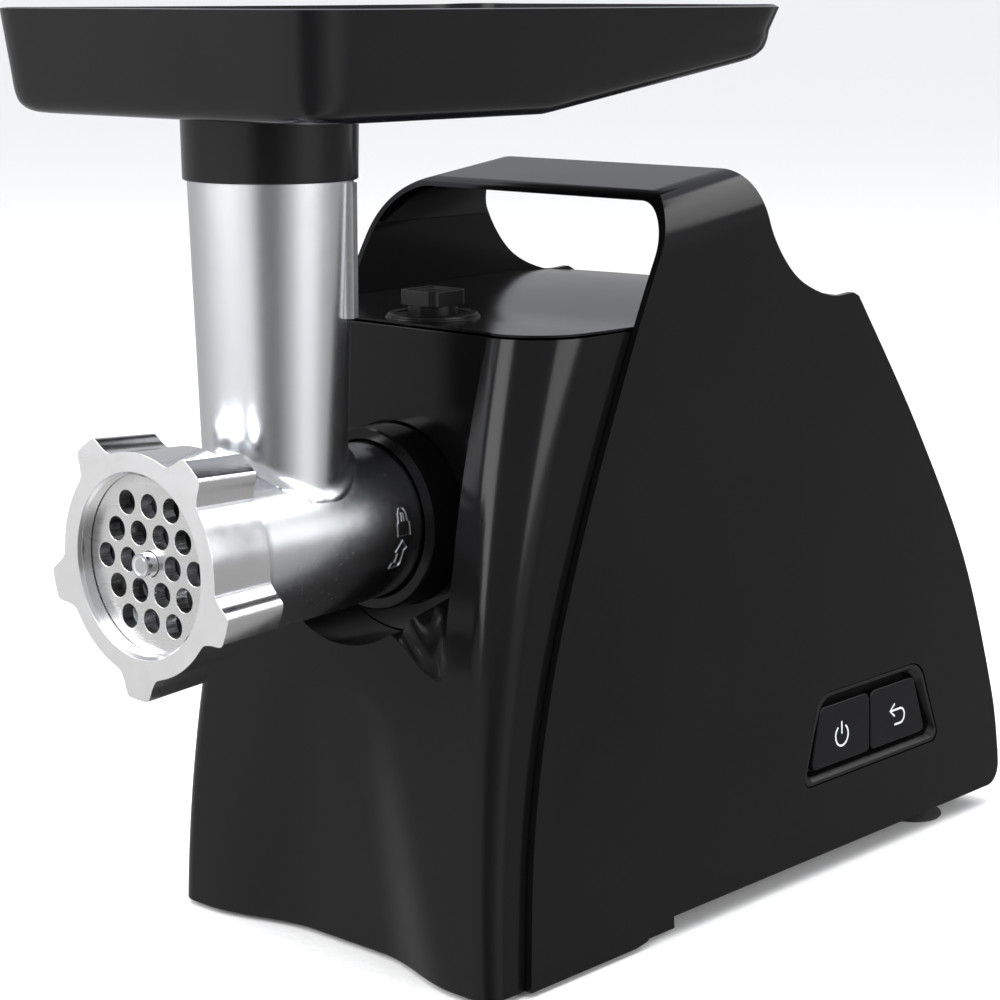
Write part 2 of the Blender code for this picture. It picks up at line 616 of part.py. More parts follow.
def motor():
    stator()
    field_coils()
    armature()
    centre = (0, 0, MOTOR_Z)
    shaft = pinion("motor_shaft", MOTOR_TEETH, FIRST_MODULE, MOTOR_Z, -7.0, 4.0, STEEL)
    join(shaft, rod("shaft_rod", SHAFT, (0, 3.0, MOTOR_Z), 115.0, segments=16),
         rod("shaft_core", 3.3, (0, -6.5, MOTOR_Z), 11.0, segments=16))
    turned("commutator", [(SHAFT_BORE, 90), (11, 90), (11, 92), (10, 92), (10, 105), (SHAFT_BORE, 105)],
           COPPER, centre, steps=24)
    blades = gear_outline(8, 6.0, 0.2, 2.4, 0, MOTOR_Z, 1)
    fan = prism("fan", [blades], 22.0, 29.0, "Y", NYLON)
    join(fan, rod("fan_disc", 29.0, (0, 27.6, MOTOR_Z), 1.8, segments=32))
    cut(fan, rod("fan_bore", SHAFT_BORE, (0, 10, MOTOR_Z), 40, segments=16))
    for end, low, legs in (("front", 12.0, (15.0, 37.6)), ("rear", 110.0, (82.4, 112.0))):
        bar = [(-43, MOTOR_Z - 12), (43, MOTOR_Z - 12), (43, MOTOR_Z + 12), (-43, MOTOR_Z + 12)]
        made = prism(f"motor_bracket_{end}", [bar, circle(MOTOR, 8.4, 20)], low, low + 4.0, "Y", CAST)
        for side in (-1, 1):
            span = sorted((side * 35.5, side * 41.0))
            join(made, box(f"leg_{end}", (span[0], legs[0], MOTOR_Z - 10), (span[1], legs[1], MOTOR_Z + 10)))
        race = [(SHAFT_BORE, low - 1), (8.0, low - 1), (8.0, low + 5), (SHAFT_BORE, low + 5)]
        turned(f"bearing_{end}", race, STEEL, centre, steps=20)
    for side, sign in (("left", -1), ("right", 1)):
        def reach(near, far):
            return sorted((sign * near, sign * far))
        inner, outer = reach(10.4, 24.0), reach(14.0, 27.0)
        box(f"brush_{side}", (inner[0], 95.0, MOTOR_Z - 4), (inner[1], 101.0, MOTOR_Z + 4), CARBON)
        holder = box(f"brush_holder_{side}", (outer[0], 93.0, MOTOR_Z - 6),
                     (outer[1], 103.0, MOTOR_Z + 6), NYLON)
        through = reach(10.0, 24.6)
        cut(holder, box("brush_way", (through[0], 94.6, MOTOR_Z - 4.4), (through[1], 101.4, MOTOR_Z + 4.4)))


def cord_gland():
    sleeve = [(3.6, 172.0), (7.0, 172.0), (7.0, 190.5), (3.6, 190.5)]
    turned("cord_gland", sleeve, RUBBER, (0, 0, 40.0), steps=20)


# ---- head --------------------------------------------------------------------------------------

def head_body():
    shell = [(0, -66.0), (HUB_RADIUS, -66.0), (HUB_RADIUS, -96.0), (29.5, -132.0), (30.6, -160.0),
             (34.0, -168.0), (34.0, BARREL_FRONT), (0, BARREL_FRONT)]
    made = turned("head_body", shell, CAST, steps=36)
    tube = rod("tube_wall", 24.0, (0, TUBE_Y, 165.0), TUBE_TOP - 165.0, "Z", None, 27.6, 32)
    rib = box("tube_rib", (-3.2, TUBE_Y + 22.0, 218.0), (3.2, TUBE_Y + 29.2, 275.6))
    turn = Matrix.Rotation(math.radians(-62), 4, "Z")
    middle = Matrix.Translation((0, TUBE_Y * MM, 0))
    rib.matrix_world = middle @ turn @ middle.inverted()
    join(made, tube, rib)
    lugs = []
    for i, angle in enumerate(LUG_ANGLES):
        lug = (arc((0, AXIS), 30.6, angle - 15, angle + 15, 5)
               + arc((0, AXIS), 25.0, angle + 15, angle - 15, 5))
        lugs.append(prism(f"lug_{i}", [lug], -71.6, -66.5, "Y"))
    join(made, *lugs)
    bore = [(0, -84.0), (BARREL_BORE, -84.0), (BARREL_BORE, -177.4), (31.3, -177.4), (31.3, -195.0),
            (0, -195.0)]
    cut(made, turned("barrel_bore", bore, steps=36),
        rod("tube_bore", 21.6, (0, TUBE_Y, 158.0), 124.0, "Z", None, 25.2, 32),
        rod("shaft_hole", 9.0, (0, -90, AXIS), 40, segments=24),
        rod("hub_hollow", 22.0, (0, -74.0, AXIS), 20, segments=32))


def auger_flight():
    """A thick helical blade, made as a loft of its cross-section along the helix."""
    turns, steps, start, end, half = 3.5, 16, -92.0, -172.0, 1.7
    rings = []
    for i in range(int(turns * steps) + 1):
        share = i / (turns * steps)
        angle = math.tau * turns * share
        y = start + (end - start) * (0.8 * share + 0.2 * share ** 0.5)
        ring = []
        for radius, offset in ((9.0, -half - 0.8), (25.2, -half), (25.2, half), (9.0, half + 0.8)):
            ring.append((radius * math.cos(angle), y + offset, AXIS + radius * math.sin(angle)))
        rings.append(ring)
    return loft("auger_flight", rings)


def feed_parts():
    core = [(0, -72.0), (8.6, -72.0), (8.6, -84.6), (14.5, -86.0), (14.5, -92.0), (12.0, -172.0),
            (12.0, -176.5), (6.0, -176.5), (6.0, -180.0), (4.0, -180.0), (4.0, -197.4), (0, -197.4)]
    auger = turned("auger", core, CAST, steps=24)
    join(auger, auger_flight(), box("knife_square", (-4, -187.7, AXIS - 4), (4, -176.6, AXIS + 4)))
    rod("auger_coupling", 9.24, (0, -71.6, AXIS), 18.6, finish=STEEL, segments=6)

    blades = []
    for i in range(4):
        turn = 90 * i
        blades += arc((0, AXIS), 29.0, turn - 9, turn + 5, 2) + arc((0, AXIS), 10.0, turn + 24, turn + 66, 2)
    square = [(-4.3, AXIS - 4.3), (4.3, AXIS - 4.3), (4.3, AXIS + 4.3), (-4.3, AXIS + 4.3)]
    prism("knife", [blades, square], -187.9, -181.0, "Y", STEEL)

    rim = circle((0, AXIS), PLATE_RADIUS, 48)
    holes = [circle((0, AXIS), 4.3, 16)]
    for row in range(-2, 3):
        count = 5 - abs(row)
        for i in range(count):
            x = (i - (count - 1) / 2) * HOLE_PITCH
            z = row * HOLE_PITCH * math.sqrt(3) / 2
            if row or x:
                holes.append(circle((x, AXIS + z), HOLE_RADIUS, 10))
    back = NUT_FACE + NUT_LIP + 0.3
    prism("grinding_plate", [rim, *holes], back, back + PLATE_THICK - 0.2, "Y", STEEL)


def ring_nut():
    outline = []
    for i in range(5):
        middle = 52.0 + 72.0 * i
        outline += [*arc((0, AXIS), NUT_RADIUS, middle - 55, middle - 17, 4),
                    *arc((0, AXIS), 40.0, middle - 10.5, middle, 1)[:1],
                    *arc((0, AXIS), 45.0, middle - 5.8, middle + 5.8, 2),
                    *arc((0, AXIS), 40.0, middle + 10.5, middle, 1)[:1]]
    made = prism("ring_nut", [outline, circle((0, AXIS), NUT_MOUTH, 48)], NUT_FACE, NUT_BACK, "Y", CAST)
    cut(made, rod("nut_thread", NUT_THREAD, (0, NUT_FACE + NUT_LIP, AXIS), 40, segments=48))


# ---- tray --------------------------------------------------------------------------------------

CORNER_POINTS = 5


def tray_ring(inset, floor, corner):
    """A rounded rectangle ring; floor is the height, or a function of y for the sloping bottom."""
    half, front, rear = TRAY_HALF - inset, TRAY_FRONT + inset, TRAY_REAR - inset
    bends = (TRAY_RISE_FROM + 60.0, TRAY_RISE_FROM)
    step = 90 / CORNER_POINTS
    outline = []
    for i, centre in enumerate(((half - corner, rear - corner), (corner - half, rear - corner),
                                (corner - half, front + corner), (half - corner, front + corner))):
        outline += arc(centre, corner, 90 * i + step / 2, 90 * i + 90 - step / 2, CORNER_POINTS - 1)
        if i == 1:
            outline += [(-half, y) for y in bends]
    outline += [(half, y) for y in bends[::-1]]
    return [(x, y, floor(y) if callable(floor) else floor) for x, y in outline]


def tray_floor(y):
    return TRAY_FLOOR + TRAY_RISE * max(0.0, y - TRAY_RISE_FROM)


def feed_tray():
    inner = tray_ring(22.0, tray_floor, 14.0)
    bearings = [math.atan2(y - TUBE_Y, x) for x, y, _ in inner]
    rows = [[(28.6 * math.cos(a), TUBE_Y + 28.6 * math.sin(a), TRAY_FLOOR) for a in bearings],
            inner,
            tray_ring(9.0, lambda y: tray_floor(y) + 0.5, 14.0),
            tray_ring(4.8, lambda y: tray_floor(y) + 3.2, 15.5),
            tray_ring(3.0, lambda y: tray_floor(y) + 8.0, 16.5),
            tray_ring(0.0, RIM, TRAY_CORNER)]
    made = sheet("feed_tray", rows, 2.2, SATIN, closed=True)
    collar = [(28.0, 276.5), (29.0, 276.5), (29.5, TRAY_FLOOR + 1.6), (28.0, TRAY_FLOOR + 1.6)]
    join(made, turned("tray_collar", collar, None, (0, TUBE_Y, 0), "Z", 48))


side_cover()
handle_liner()
front_fascia()
top_cover()
base_pan()
feet()
base_screws()
release()
head_socket()
switches()
gearbox()
motor()
cord_gland()
head_body()
feed_parts()
ring_nut()
feed_tray()
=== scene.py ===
import math

import bpy
from mathutils import Matrix, Vector


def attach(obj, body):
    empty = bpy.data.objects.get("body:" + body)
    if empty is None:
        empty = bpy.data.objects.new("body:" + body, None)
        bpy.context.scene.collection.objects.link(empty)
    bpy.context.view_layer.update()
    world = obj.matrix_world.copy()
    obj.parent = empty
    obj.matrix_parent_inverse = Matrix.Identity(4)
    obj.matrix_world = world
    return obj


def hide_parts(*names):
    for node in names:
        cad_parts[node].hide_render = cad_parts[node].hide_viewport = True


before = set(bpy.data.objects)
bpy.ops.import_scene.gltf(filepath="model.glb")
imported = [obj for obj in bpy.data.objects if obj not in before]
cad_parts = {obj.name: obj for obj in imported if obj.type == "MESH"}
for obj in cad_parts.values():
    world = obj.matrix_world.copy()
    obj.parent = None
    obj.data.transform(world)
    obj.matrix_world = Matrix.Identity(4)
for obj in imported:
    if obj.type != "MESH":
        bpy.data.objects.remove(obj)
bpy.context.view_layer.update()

bpy.ops.object.select_all(action="DESELECT")
MM = 0.001
MERGE = 0.000002            # corners nearer than this, in metres, are one

# ---- studio ------------------------------------------------------------------------------------
# A white sweep of painted board as the floor, one large soft lamp overhead, soft boxes at the sides
# for the highlights that gloss plastic shows, and a camera at table height looking down a little.

bpy.ops.object.camera_add(location=(0.6291, -0.7126, 0.3368),
                          rotation=tuple(math.radians(a) for a in (78.7575, 0.0, 42.4538)))
camera = bpy.context.object
camera.data.lens = 91.9
camera.data.sensor_width = 36.0
bpy.context.scene.camera = camera
bpy.context.scene.view_settings.view_transform = "Standard"


class Wire:
    """A value in a finish's nodes. Maths on it adds the nodes."""

    def __init__(self, finish, socket):
        self.finish, self.socket = finish, socket

    def maths(self, operation, first, second):
        return self.finish.node("ShaderNodeMath", {"operation": operation}, {0: first, 1: second})

    def __add__(self, other):
        return self.maths("ADD", self, other)

    def __sub__(self, other):
        return self.maths("SUBTRACT", self, other)

    def __rsub__(self, other):
        return self.maths("SUBTRACT", other, self)

    def __mul__(self, other):
        return self.maths("MULTIPLY", self, other)

    __radd__ = __add__
    __rmul__ = __mul__


class Nodes:
    """A node tree that one method fills: a node's type, its settings, and its sockets' values or links."""

    def __init__(self, tree):
        self.tree = tree

    def node(self, kind, settings=None, inputs=None, output=0):
        made = self.tree.nodes.new(kind)
        for name, value in (settings or {}).items():
            if name == "stops":
                for place, tone in value:
                    stop = made.color_ramp.elements.new(place)
                    stop.color = (tone, tone, tone, 1.0)
            else:
                setattr(made, name, value)
        for name, value in (inputs or {}).items():
            if isinstance(value, Wire):
                self.tree.links.new(value.socket, made.inputs[name])
            else:
                made.inputs[name].default_value = value
        return Wire(self, made.outputs[output])


class Finish(Nodes):
    """A material: constants go straight on the shader, and node() adds anything that varies."""

    def __init__(self, name, colour, roughness, metallic=0.0, **constants):
        self.material = bpy.data.materials.new(name)
        self.material.use_nodes = True
        super().__init__(self.material.node_tree)
        self.shader = self.tree.nodes["Principled BSDF"]
        self.shader.inputs["Base Color"].default_value = (*colour, 1.0)
        self.shader.inputs["Roughness"].default_value = roughness
        self.shader.inputs["Metallic"].default_value = metallic
        for socket, value in constants.items():
            self.shader.inputs[socket.replace("_", " ")].default_value = value
        self.place = self.node("ShaderNodeTexCoord", output="Object")

    def noise(self, scale, detail=2.0, stretch=(1.0, 1.0, 1.0)):
        where = self.place
        if stretch != (1.0, 1.0, 1.0):
            where = self.node("ShaderNodeMapping", None, {"Vector": where, "Scale": stretch})
        return self.node("ShaderNodeTexNoise", None, {"Vector": where, "Scale": scale, "Detail": detail})

    def ramp(self, value, low, high):
        return self.node("ShaderNodeMapRange", {"clamp": True},
                         {"Value": value, "From Min": low, "From Max": high})

    def blend(self, share, first, second):
        return self.node("ShaderNodeMix", {"data_type": "RGBA"},
                         {0: share, 6: (*first, 1.0), 7: (*second, 1.0)}, 2)

    def bump(self, height, distance, strength=1.0):
        made = self.node("ShaderNodeBump", None,
                         {"Height": height, "Distance": distance, "Strength": strength})
        return self.feed("Normal", made)

    def feed(self, socket, wire):
        self.tree.links.new(wire.socket, self.shader.inputs[socket])
        return self

    def on(self, *names):
        """Put this finish on CAD nodes that stay as they are."""
        for name in names:
            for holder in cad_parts[name].material_slots:
                holder.material = self.material


def named(name):
    piece = bpy.context.object
    piece.name = piece.data.name = name
    return piece


def pick(*pieces):
    """Select the pieces, with the first of them active."""
    bpy.ops.object.select_all(action="DESELECT")
    for piece in pieces:
        piece.select_set(True)
    bpy.context.view_layer.objects.active = pieces[0]


def settle(piece, angle=35):
    """Write the piece's place into its mesh, merge its doubles and shade it."""
    pick(piece)
    bpy.ops.object.transform_apply(location=True, rotation=True, scale=True)
    bpy.ops.object.mode_set(mode="EDIT")
    bpy.ops.mesh.select_all(action="SELECT")
    bpy.ops.mesh.remove_doubles(threshold=MERGE)
    bpy.ops.object.mode_set(mode="OBJECT")
    bpy.ops.object.shade_smooth_by_angle(angle=math.radians(angle))
    step = piece.modifiers.new("weighted", "WEIGHTED_NORMAL")
    step.keep_sharp = True
    bpy.ops.object.modifier_apply(modifier=step.name)
    return piece


bpy.ops.mesh.primitive_grid_add(x_subdivisions=8, y_subdivisions=8, size=400.0)
floor = settle(named("floor"))
paint = Finish("floor_paint", (0.93, 0.93, 0.93), 0.6)
paint.feed("Roughness", 0.5 + paint.noise(30.0) * 0.2)
paint.bump(paint.noise(220.0), 0.0002)
floor.data.materials.append(paint.material)
floor.visible_glossy = False


def lamp(name, turn, rise, away, width, height, glow):
    """A soft box seen from the machine at a bearing from its front (to +X) and a height, in degrees."""
    middle = Vector((0.0, -0.03, 0.18))
    flat, up = math.radians(turn), math.radians(rise)
    place = middle + away * Vector((math.sin(flat) * math.cos(up), -math.cos(flat) * math.cos(up),
                                    math.sin(up)))
    bpy.ops.object.light_add(type="AREA", location=place)
    made = bpy.context.object
    made.name = name
    made.data.shape = "RECTANGLE"
    made.data.size, made.data.size_y = width, height
    made.data.energy = glow * math.pi * width * height
    made.rotation_euler = (middle - place).to_track_quat("-Z", "Y").to_euler()
    made.visible_camera = False


lamp("overhead", -30.0, 78.0, 2.0, 2.2, 2.2, 2.6)
lamp("left_box", -23.0, 22.0, 1.6, 1.4, 0.9, 6.5)
lamp("right_box", 104.0, 17.0, 1.6, 1.4, 0.7, 4.5)
lamp("rim_box", 165.0, 38.0, 1.6, 1.2, 0.7, 3.0)
bpy.ops.object.light_add(type="SUN", location=(0, 0, 3))
wash = bpy.context.object
wash.name = "floor_wash"
wash.data.energy = 1.6
wash.data.angle = math.radians(80)
wash.visible_glossy = False

world = bpy.data.worlds.new("studio")
bpy.context.scene.world = world
world.use_nodes = True
room = Nodes(world.node_tree)
toward = room.node("ShaderNodeTexCoord")
east = room.node("ShaderNodeSeparateXYZ", None, {0: toward}, 0)
north = room.node("ShaderNodeSeparateXYZ", None, {0: toward}, 1)
height = room.node("ShaderNodeSeparateXYZ", None, {0: toward}, 2)
around = room.node("ShaderNodeMath", {"operation": "ARCTAN2"}, {0: east, 1: 0.0 - north})
bearing = around * (0.5 / math.pi) + 0.5
walls = ((-138, 0.5), (-90, 0.5), (-60, 0.62), (-20, 0.92), (14, 0.95), (34, 0.18), (54, 0.18), (72, 0.5),
         (92, 0.95), (106, 0.9), (125, 0.4), (150, 0.36), (170, 0.5))
low = room.node("ShaderNodeValToRGB", {"stops": [((turn + 180) / 360, tone) for turn, tone in walls]},
                {0: bearing})
lift = room.node("ShaderNodeMapRange", {"clamp": True}, {"Value": height, "From Min": 0.02, "From Max": 0.14})
air = room.node("ShaderNodeMix", {"data_type": "RGBA"}, {0: lift, 6: low, 7: (0.50, 0.51, 0.53, 1.0)}, 2)
room.tree.links.new(air.socket, room.tree.nodes["Background"].inputs["Color"])


# ---- side cover ----------------------------------------------------------------------------------
# One gloss black ABS moulding: left panel, carry handle and right panel, with a thin rounded lip all
# round its edge. It slides down over the fascia and the deck and snaps into the base.

gloss = Finish("gloss_black_plastic", (0.004, 0.004, 0.0045), 0.1, Specular_IOR_Level=0.2)
gloss.feed("Base Color", gloss.blend(gloss.noise(14.0), (0.0028, 0.0028, 0.0031), (0.0046, 0.0046, 0.0049)))
gloss.feed("Roughness", 0.13 + gloss.noise(26.0, 4.0) * 0.06
           + gloss.ramp(gloss.noise(900.0), 0.68, 0.8) * 0.12)
gloss.bump(gloss.noise(11.0, 1.0), 0.00025)

WALL = 2.6
SIDE_FOOT, SIDE_LEAN = 83.0, 0.043
HANDLE_FRONT, HANDLE_REAR, HANDLE_TOP, HANDLE_SLOPE, HANDLE_BEND = 2.6, 38.6, 268.6, 0.136, 20.0


def arc(centre, radius, start, end, steps):
    turns = [math.radians(start + (end - start) * i / steps) for i in range(steps + 1)]
    return [(centre[0] + radius * math.cos(a), centre[1] + radius * math.sin(a)) for a in turns]


def smooth(points, steps=8):
    """A curve through the points."""
    ends = [points[0], *points, points[-1]]
    curve = []
    for a, b, c, d in zip(ends, ends[1:], ends[2:], ends[3:]):
        for i in range(steps):
            t = i / steps
            curve.append(tuple(
                0.5 * (2 * q + (r - p) * t + (2 * p - 5 * q + 4 * r - s) * t ** 2
                       + (3 * q - p - 3 * r + s) * t ** 3)
                for p, q, r, s in zip(a, b, c, d)))
    return curve + [points[-1]]


def along(path, share):
    """The point at a share of a path's length."""
    lengths = [math.dist(a, b) for a, b in zip(path, path[1:])]
    left = share * sum(lengths)
    for (a, b), length in zip(zip(path, path[1:]), lengths):
        if left <= length or b is path[-1]:
            t = min(left / max(length, 1e-9), 1.0)
            return tuple(p + (q - p) * t for p, q in zip(a, b))
        left -= length


def skin(name, across, down, place):
    """A grid laid over a surface: place gives the point for its shares across and down."""
    bpy.ops.mesh.primitive_grid_add(x_subdivisions=across, y_subdivisions=down, size=1.0)
    piece = named(name)
    for corner in piece.data.vertices:
        corner.co = Vector(place(corner.co.x + 0.5, corner.co.y + 0.5)) * MM
    return piece


def apply(piece, kind, **settings):
    step = piece.modifiers.new(kind.lower(), kind)
    for name, value in settings.items():
        setattr(step, name, value)
    bpy.context.view_layer.objects.active = piece
    bpy.ops.object.modifier_apply(modifier=step.name)
    return piece


def outward(piece):
    pick(piece)
    bpy.ops.object.mode_set(mode="EDIT")
    bpy.ops.mesh.select_all(action="SELECT")
    bpy.ops.mesh.remove_doubles(threshold=MERGE)
    bpy.ops.mesh.delete_loose()
    bpy.ops.mesh.select_all(action="SELECT")
    bpy.ops.mesh.normals_make_consistent(inside=False)
    bpy.ops.object.mode_set(mode="OBJECT")
    return piece


def slab(name, outline, low, high, axis):
    """A flat outline extruded between two places along an axis."""
    bpy.ops.mesh.primitive_circle_add(vertices=len(outline), radius=0.1, fill_type="NGON")
    piece = named(name)
    for corner, (a, b) in zip(piece.data.vertices, outline):
        point = {"X": (low, a, b), "Y": (a, low, b), "Z": (a, b, low)}[axis]
        corner.co = Vector(point) * MM
    rise = Vector([(high - low) * MM * float(axis == letter) for letter in "XYZ"])
    bpy.ops.object.mode_set(mode="EDIT")
    bpy.ops.mesh.select_all(action="SELECT")
    bpy.ops.mesh.extrude_region_move(TRANSFORM_OT_translate={"value": rise})
    bpy.ops.object.mode_set(mode="OBJECT")
    return outward(piece)


def combine(piece, operation, *tools):
    for tool in tools:
        apply(piece, "BOOLEAN", operation=operation, solver="EXACT", object=tool)
        bpy.data.objects.remove(tool)
    return piece


def rounded(piece, width, angle=30, segments=3):
    return apply(piece, "BEVEL", width=width * MM, segments=segments, limit_method="ANGLE",
                 angle_limit=math.radians(angle), miter_outer="MITER_ARC")


ARCH_POINTS = 40            # two halves, each a foot and a bend of 18 steps


def arch(share, inset, y):
    """The hoop's section at y: up the left panel, over the handle and down the right one."""
    top = HANDLE_TOP + HANDLE_SLOPE * (y - HANDLE_FRONT) - inset
    radius = HANDLE_BEND - inset
    lean = math.atan(SIDE_LEAN)
    centre_z = top - radius
    centre_x = SIDE_FOOT - SIDE_LEAN * centre_z - (inset + radius) / math.cos(lean)
    bend = arc((centre_x, centre_z), radius, math.degrees(lean), 90, 18)
    foot = (SIDE_FOOT - inset / math.cos(lean) + SIDE_LEAN * 2.0, -2.0)
    right = [foot, *bend]
    points = [(-x, z) for x, z in right] + [(x, z) for x, z in right[::-1]]
    x, z = points[round(share * (len(points) - 1))]
    return x, y, z


def hoop(name, inset, thickness):
    piece = skin(name, ARCH_POINTS - 1, 2, lambda u, v: arch(u, inset, -130.0 + 360.0 * v))
    apply(piece, "SOLIDIFY", thickness=thickness * MM, offset=-1.0, use_even_offset=True)
    return piece


def to_panel(piece):
    """Tilt a piece made against the plane x = 0 onto the right panel."""
    piece.matrix_world = (Matrix.Translation((SIDE_FOOT * MM, 0, 0))
                          @ Matrix.Rotation(-math.atan(SIDE_LEAN), 4, "Y"))
    pick(piece)
    bpy.ops.object.transform_apply(location=True, rotation=True, scale=True)
    return piece


def switch_outline(inset):
    low, high = 36.5 + inset, 72.0 - inset
    left = arc((63.4 + inset, low + 4), 4, 270, 180, 8) + arc((76.0 + inset, high - 9), 9, 165, 90, 12)
    right = arc((133.0 - inset, high - 10), 10, 90, 20, 12) + arc((147.5 - inset, low + 4), 4, 0, -90, 8)
    return left + right


foot_edge = [(-99.7, 2.0), (-43, 2.0), (-37, 3.0), (-33.5, 5.6), (-28.4, 8.2)]
heel_edge = arc((190.3, 16.2), 8.0, -90, 0, 8)
rear_edge = smooth([(198.0, 22), (192.6, 51), (171.8, 109.5), (137.6, 168), (98.5, 223.0)])
saddle_edge = smooth([(95.0, 224.6), (78.6, 225.0), (58.0, 234.0), (43.5, 252.0), (38.6, 274.0)])
front_edge = smooth([(HANDLE_FRONT, 270.0), (-9.5, 263.5), (-20.0, 249.0), (-39.1, 213.0), (-63.5, 161.0),
                     (-83.5, 109.0), (-95.3, 57.0), (-99.7, 2.0)])
side_edge = (foot_edge + heel_edge + rear_edge + saddle_edge + [(HANDLE_REAR, 292.0), (HANDLE_FRONT, 292.0)]
             + front_edge[:-1])

side_shell = hoop("side_shell", 0.0, WALL)
outward(side_shell)
combine(side_shell, "INTERSECT", slab("side_edge", side_edge, -100, 100, "X"))
combine(side_shell, "DIFFERENCE", to_panel(slab("switch_hole", switch_outline(0.0), -8, 3, "X")))
outward(side_shell)
rounded(side_shell, 1.1)
settle(side_shell)
side_shell.data.materials.append(gloss.material)
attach(side_shell, "housing")
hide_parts("side_cover")

# ---- handle liner --------------------------------------------------------------------------------
# A thin satin ABS strip clipped under the carry handle, where the fingers go. Its skin has the fine
# spark-eroded texture of the mould.

satin = Finish("satin_black_plastic", (0.018, 0.018, 0.020), 0.36, Specular_IOR_Level=0.25)
satin.feed("Roughness", 0.3 + satin.noise(60.0, 3.0) * 0.14)
satin.feed("Base Color", satin.blend(satin.noise(45.0), (0.0045, 0.0045, 0.005), (0.007, 0.007, 0.0075)))
satin.bump(satin.noise(2400.0, 2.0), 0.00002, 0.6)

liner = hoop("grip_liner", WALL + 0.3, 1.5)
outward(liner)
region = [(-17.0, 250.0), (3.6, 268.0), (3.6, 290.0), (37.6, 290.0), (37.6, 272.0), (42.0, 250.0)]
combine(liner, "INTERSECT", slab("liner_edge", region, -100, 100, "X"))
outward(liner)
rounded(liner, 0.4)
settle(liner)
liner.data.materials.append(satin.material)
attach(liner, "housing")
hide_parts("handle_liner")

# ---- front fascia --------------------------------------------------------------------------------
# A gloss black ABS shell with a raked, rounded front, a hollow for the bowl at its foot, and the flared
# recess that the grinding head stands in. The socket for the head comes through its back wall.

FASCIA_SIDE, FASCIA_FOOT, FASCIA_RAKE, DECK = 80.0, -117.4, 36.4, 222.8
FASCIA_LOW, FASCIA_HIGH, FASCIA_BACK = 2.0, 222.0, -18.0
KEY_Y, SEAM = -60.4, 0.4     # the release button's axis, and the deck's joint with it
SCOOP_TOP, SCOOP_FLOOR_TOP, SCOOP_FLOOR_FOOT = 99.0, -110.3, -107.4
AXIS, BAY_BACK, BAY_RADIUS, BAY_TOP_HALF = 155.0, -79.5, 42.8, 46.5
CUSP = 0.735                # where the flared sides fade out, as an angle below the axis


def front_y(z):
    return FASCIA_FOOT + FASCIA_RAKE * ((z - 2.0) / (DECK - 2.0)) ** 2


def scoop(x, z):
    """How far the hollow under the head sinks into the front."""
    share = (z - 2.0) / (SCOOP_TOP - 2.0)
    if share >= 1:
        return 0.0
    depth = SCOOP_FLOOR_FOOT + (SCOOP_FLOOR_TOP - SCOOP_FLOOR_FOOT) * share - front_y(z)
    half = 44.0 - 0.226 * (z - 2.0)
    if z > 83:
        half = 25.7 * math.sqrt(max(0.0, 1 - ((z - 83) / 16) ** 2))
    reach = min(max((abs(x) / max(half, 0.1) - 0.4) / 1.05, 0.0), 1.0)
    return max(depth, 0.0) * 0.5 * (1 + math.cos(math.pi * reach))


def front_point(u, z):
    """The front from the middle (0) to the corner (1), round it (2) and back along the side (3)."""
    half = FASCIA_SIDE - SIDE_LEAN * z
    radius = 8.5 + 15.5 * (z / DECK) ** 2
    flat = half - radius
    if u <= 1:
        return flat * u, front_y(z) + scoop(flat * u, z), z
    if u <= 2:
        turn = math.radians(-90 + 90 * (u - 1))
        return flat + radius * math.cos(turn), front_y(z) + radius * (1 + math.sin(turn)), z
    y = front_y(z) + radius
    return half, y + (FASCIA_BACK - y) * (u - 2), z


def bay_ring(t, y):
    """The recess's edge at depth y, from the top (0) down the side and round to the middle below (1)."""
    share = (BAY_BACK - y) / 32.5
    side = BAY_RADIUS + 8.5 * share
    if t < 0.42:
        z = FASCIA_HIGH + (AXIS - FASCIA_HIGH) * t / 0.42
        return side + (BAY_TOP_HALF + 3.0 * share - side) * (z - AXIS) / 90.0, z
    down = math.radians(90 * (t - 0.42) / 0.58)
    side += 3.5 * share * min(down / CUSP, 1.0)
    turn = min(down, CUSP)
    flared = side + share * share * (BAY_RADIUS + 11.0) * (1 / math.cos(turn) - 1)
    fade = min(max(1 - (down - CUSP) / 0.26, 0.0), 1.0)
    wide = BAY_RADIUS + (flared - BAY_RADIUS) * fade * fade * (3 - 2 * fade)
    return wide * math.cos(down), AXIS - wide * math.sin(down)


def crease(t):
    y = -100.0
    for _ in range(12):
        x, z = bay_ring(t, y)
        y = front_y(z) + scoop(x, z)
    return x, y, z


CREASES = {}


def fascia_point(down, out):
    """Out from the recess's back edge (0) up its wall to the crease (0.2), and over the front."""
    if down not in CREASES:
        CREASES[down] = crease(down)
    x, y, z = CREASES[down]
    if out <= 0.2:
        below = math.radians(90 * (down - 0.42) / 0.58)
        round_part = min(max((below - 0.4) / 0.4, 0.0), 1.0)
        edge = BAY_BACK + (y - BAY_BACK) * (0.04 + 0.8 * round_part * round_part * (3 - 2 * round_part))
        a, c = bay_ring(down, BAY_BACK)
        if out <= 0.1:
            return a, BAY_BACK + (edge - BAY_BACK) * out / 0.1, c
        share = (out - 0.1) / 0.1
        return a + (x - a) * share, edge + (y - edge) * share, c + (z - c) * share
    reach = (out - 0.2) / 0.8
    half, radius = FASCIA_SIDE - SIDE_LEAN * z, 8.5 + 15.5 * (z / DECK) ** 2
    start = x / (half - radius)
    if down < 0.6:
        end, floor_z = 3.0, FASCIA_HIGH + (FASCIA_LOW - FASCIA_HIGH) * down / 0.6
    else:
        end, floor_z = 3.0 * (1 - (down - 0.6) / 0.4), FASCIA_LOW
    return front_point(start + (end - start) * reach, z + (floor_z - z) * reach)


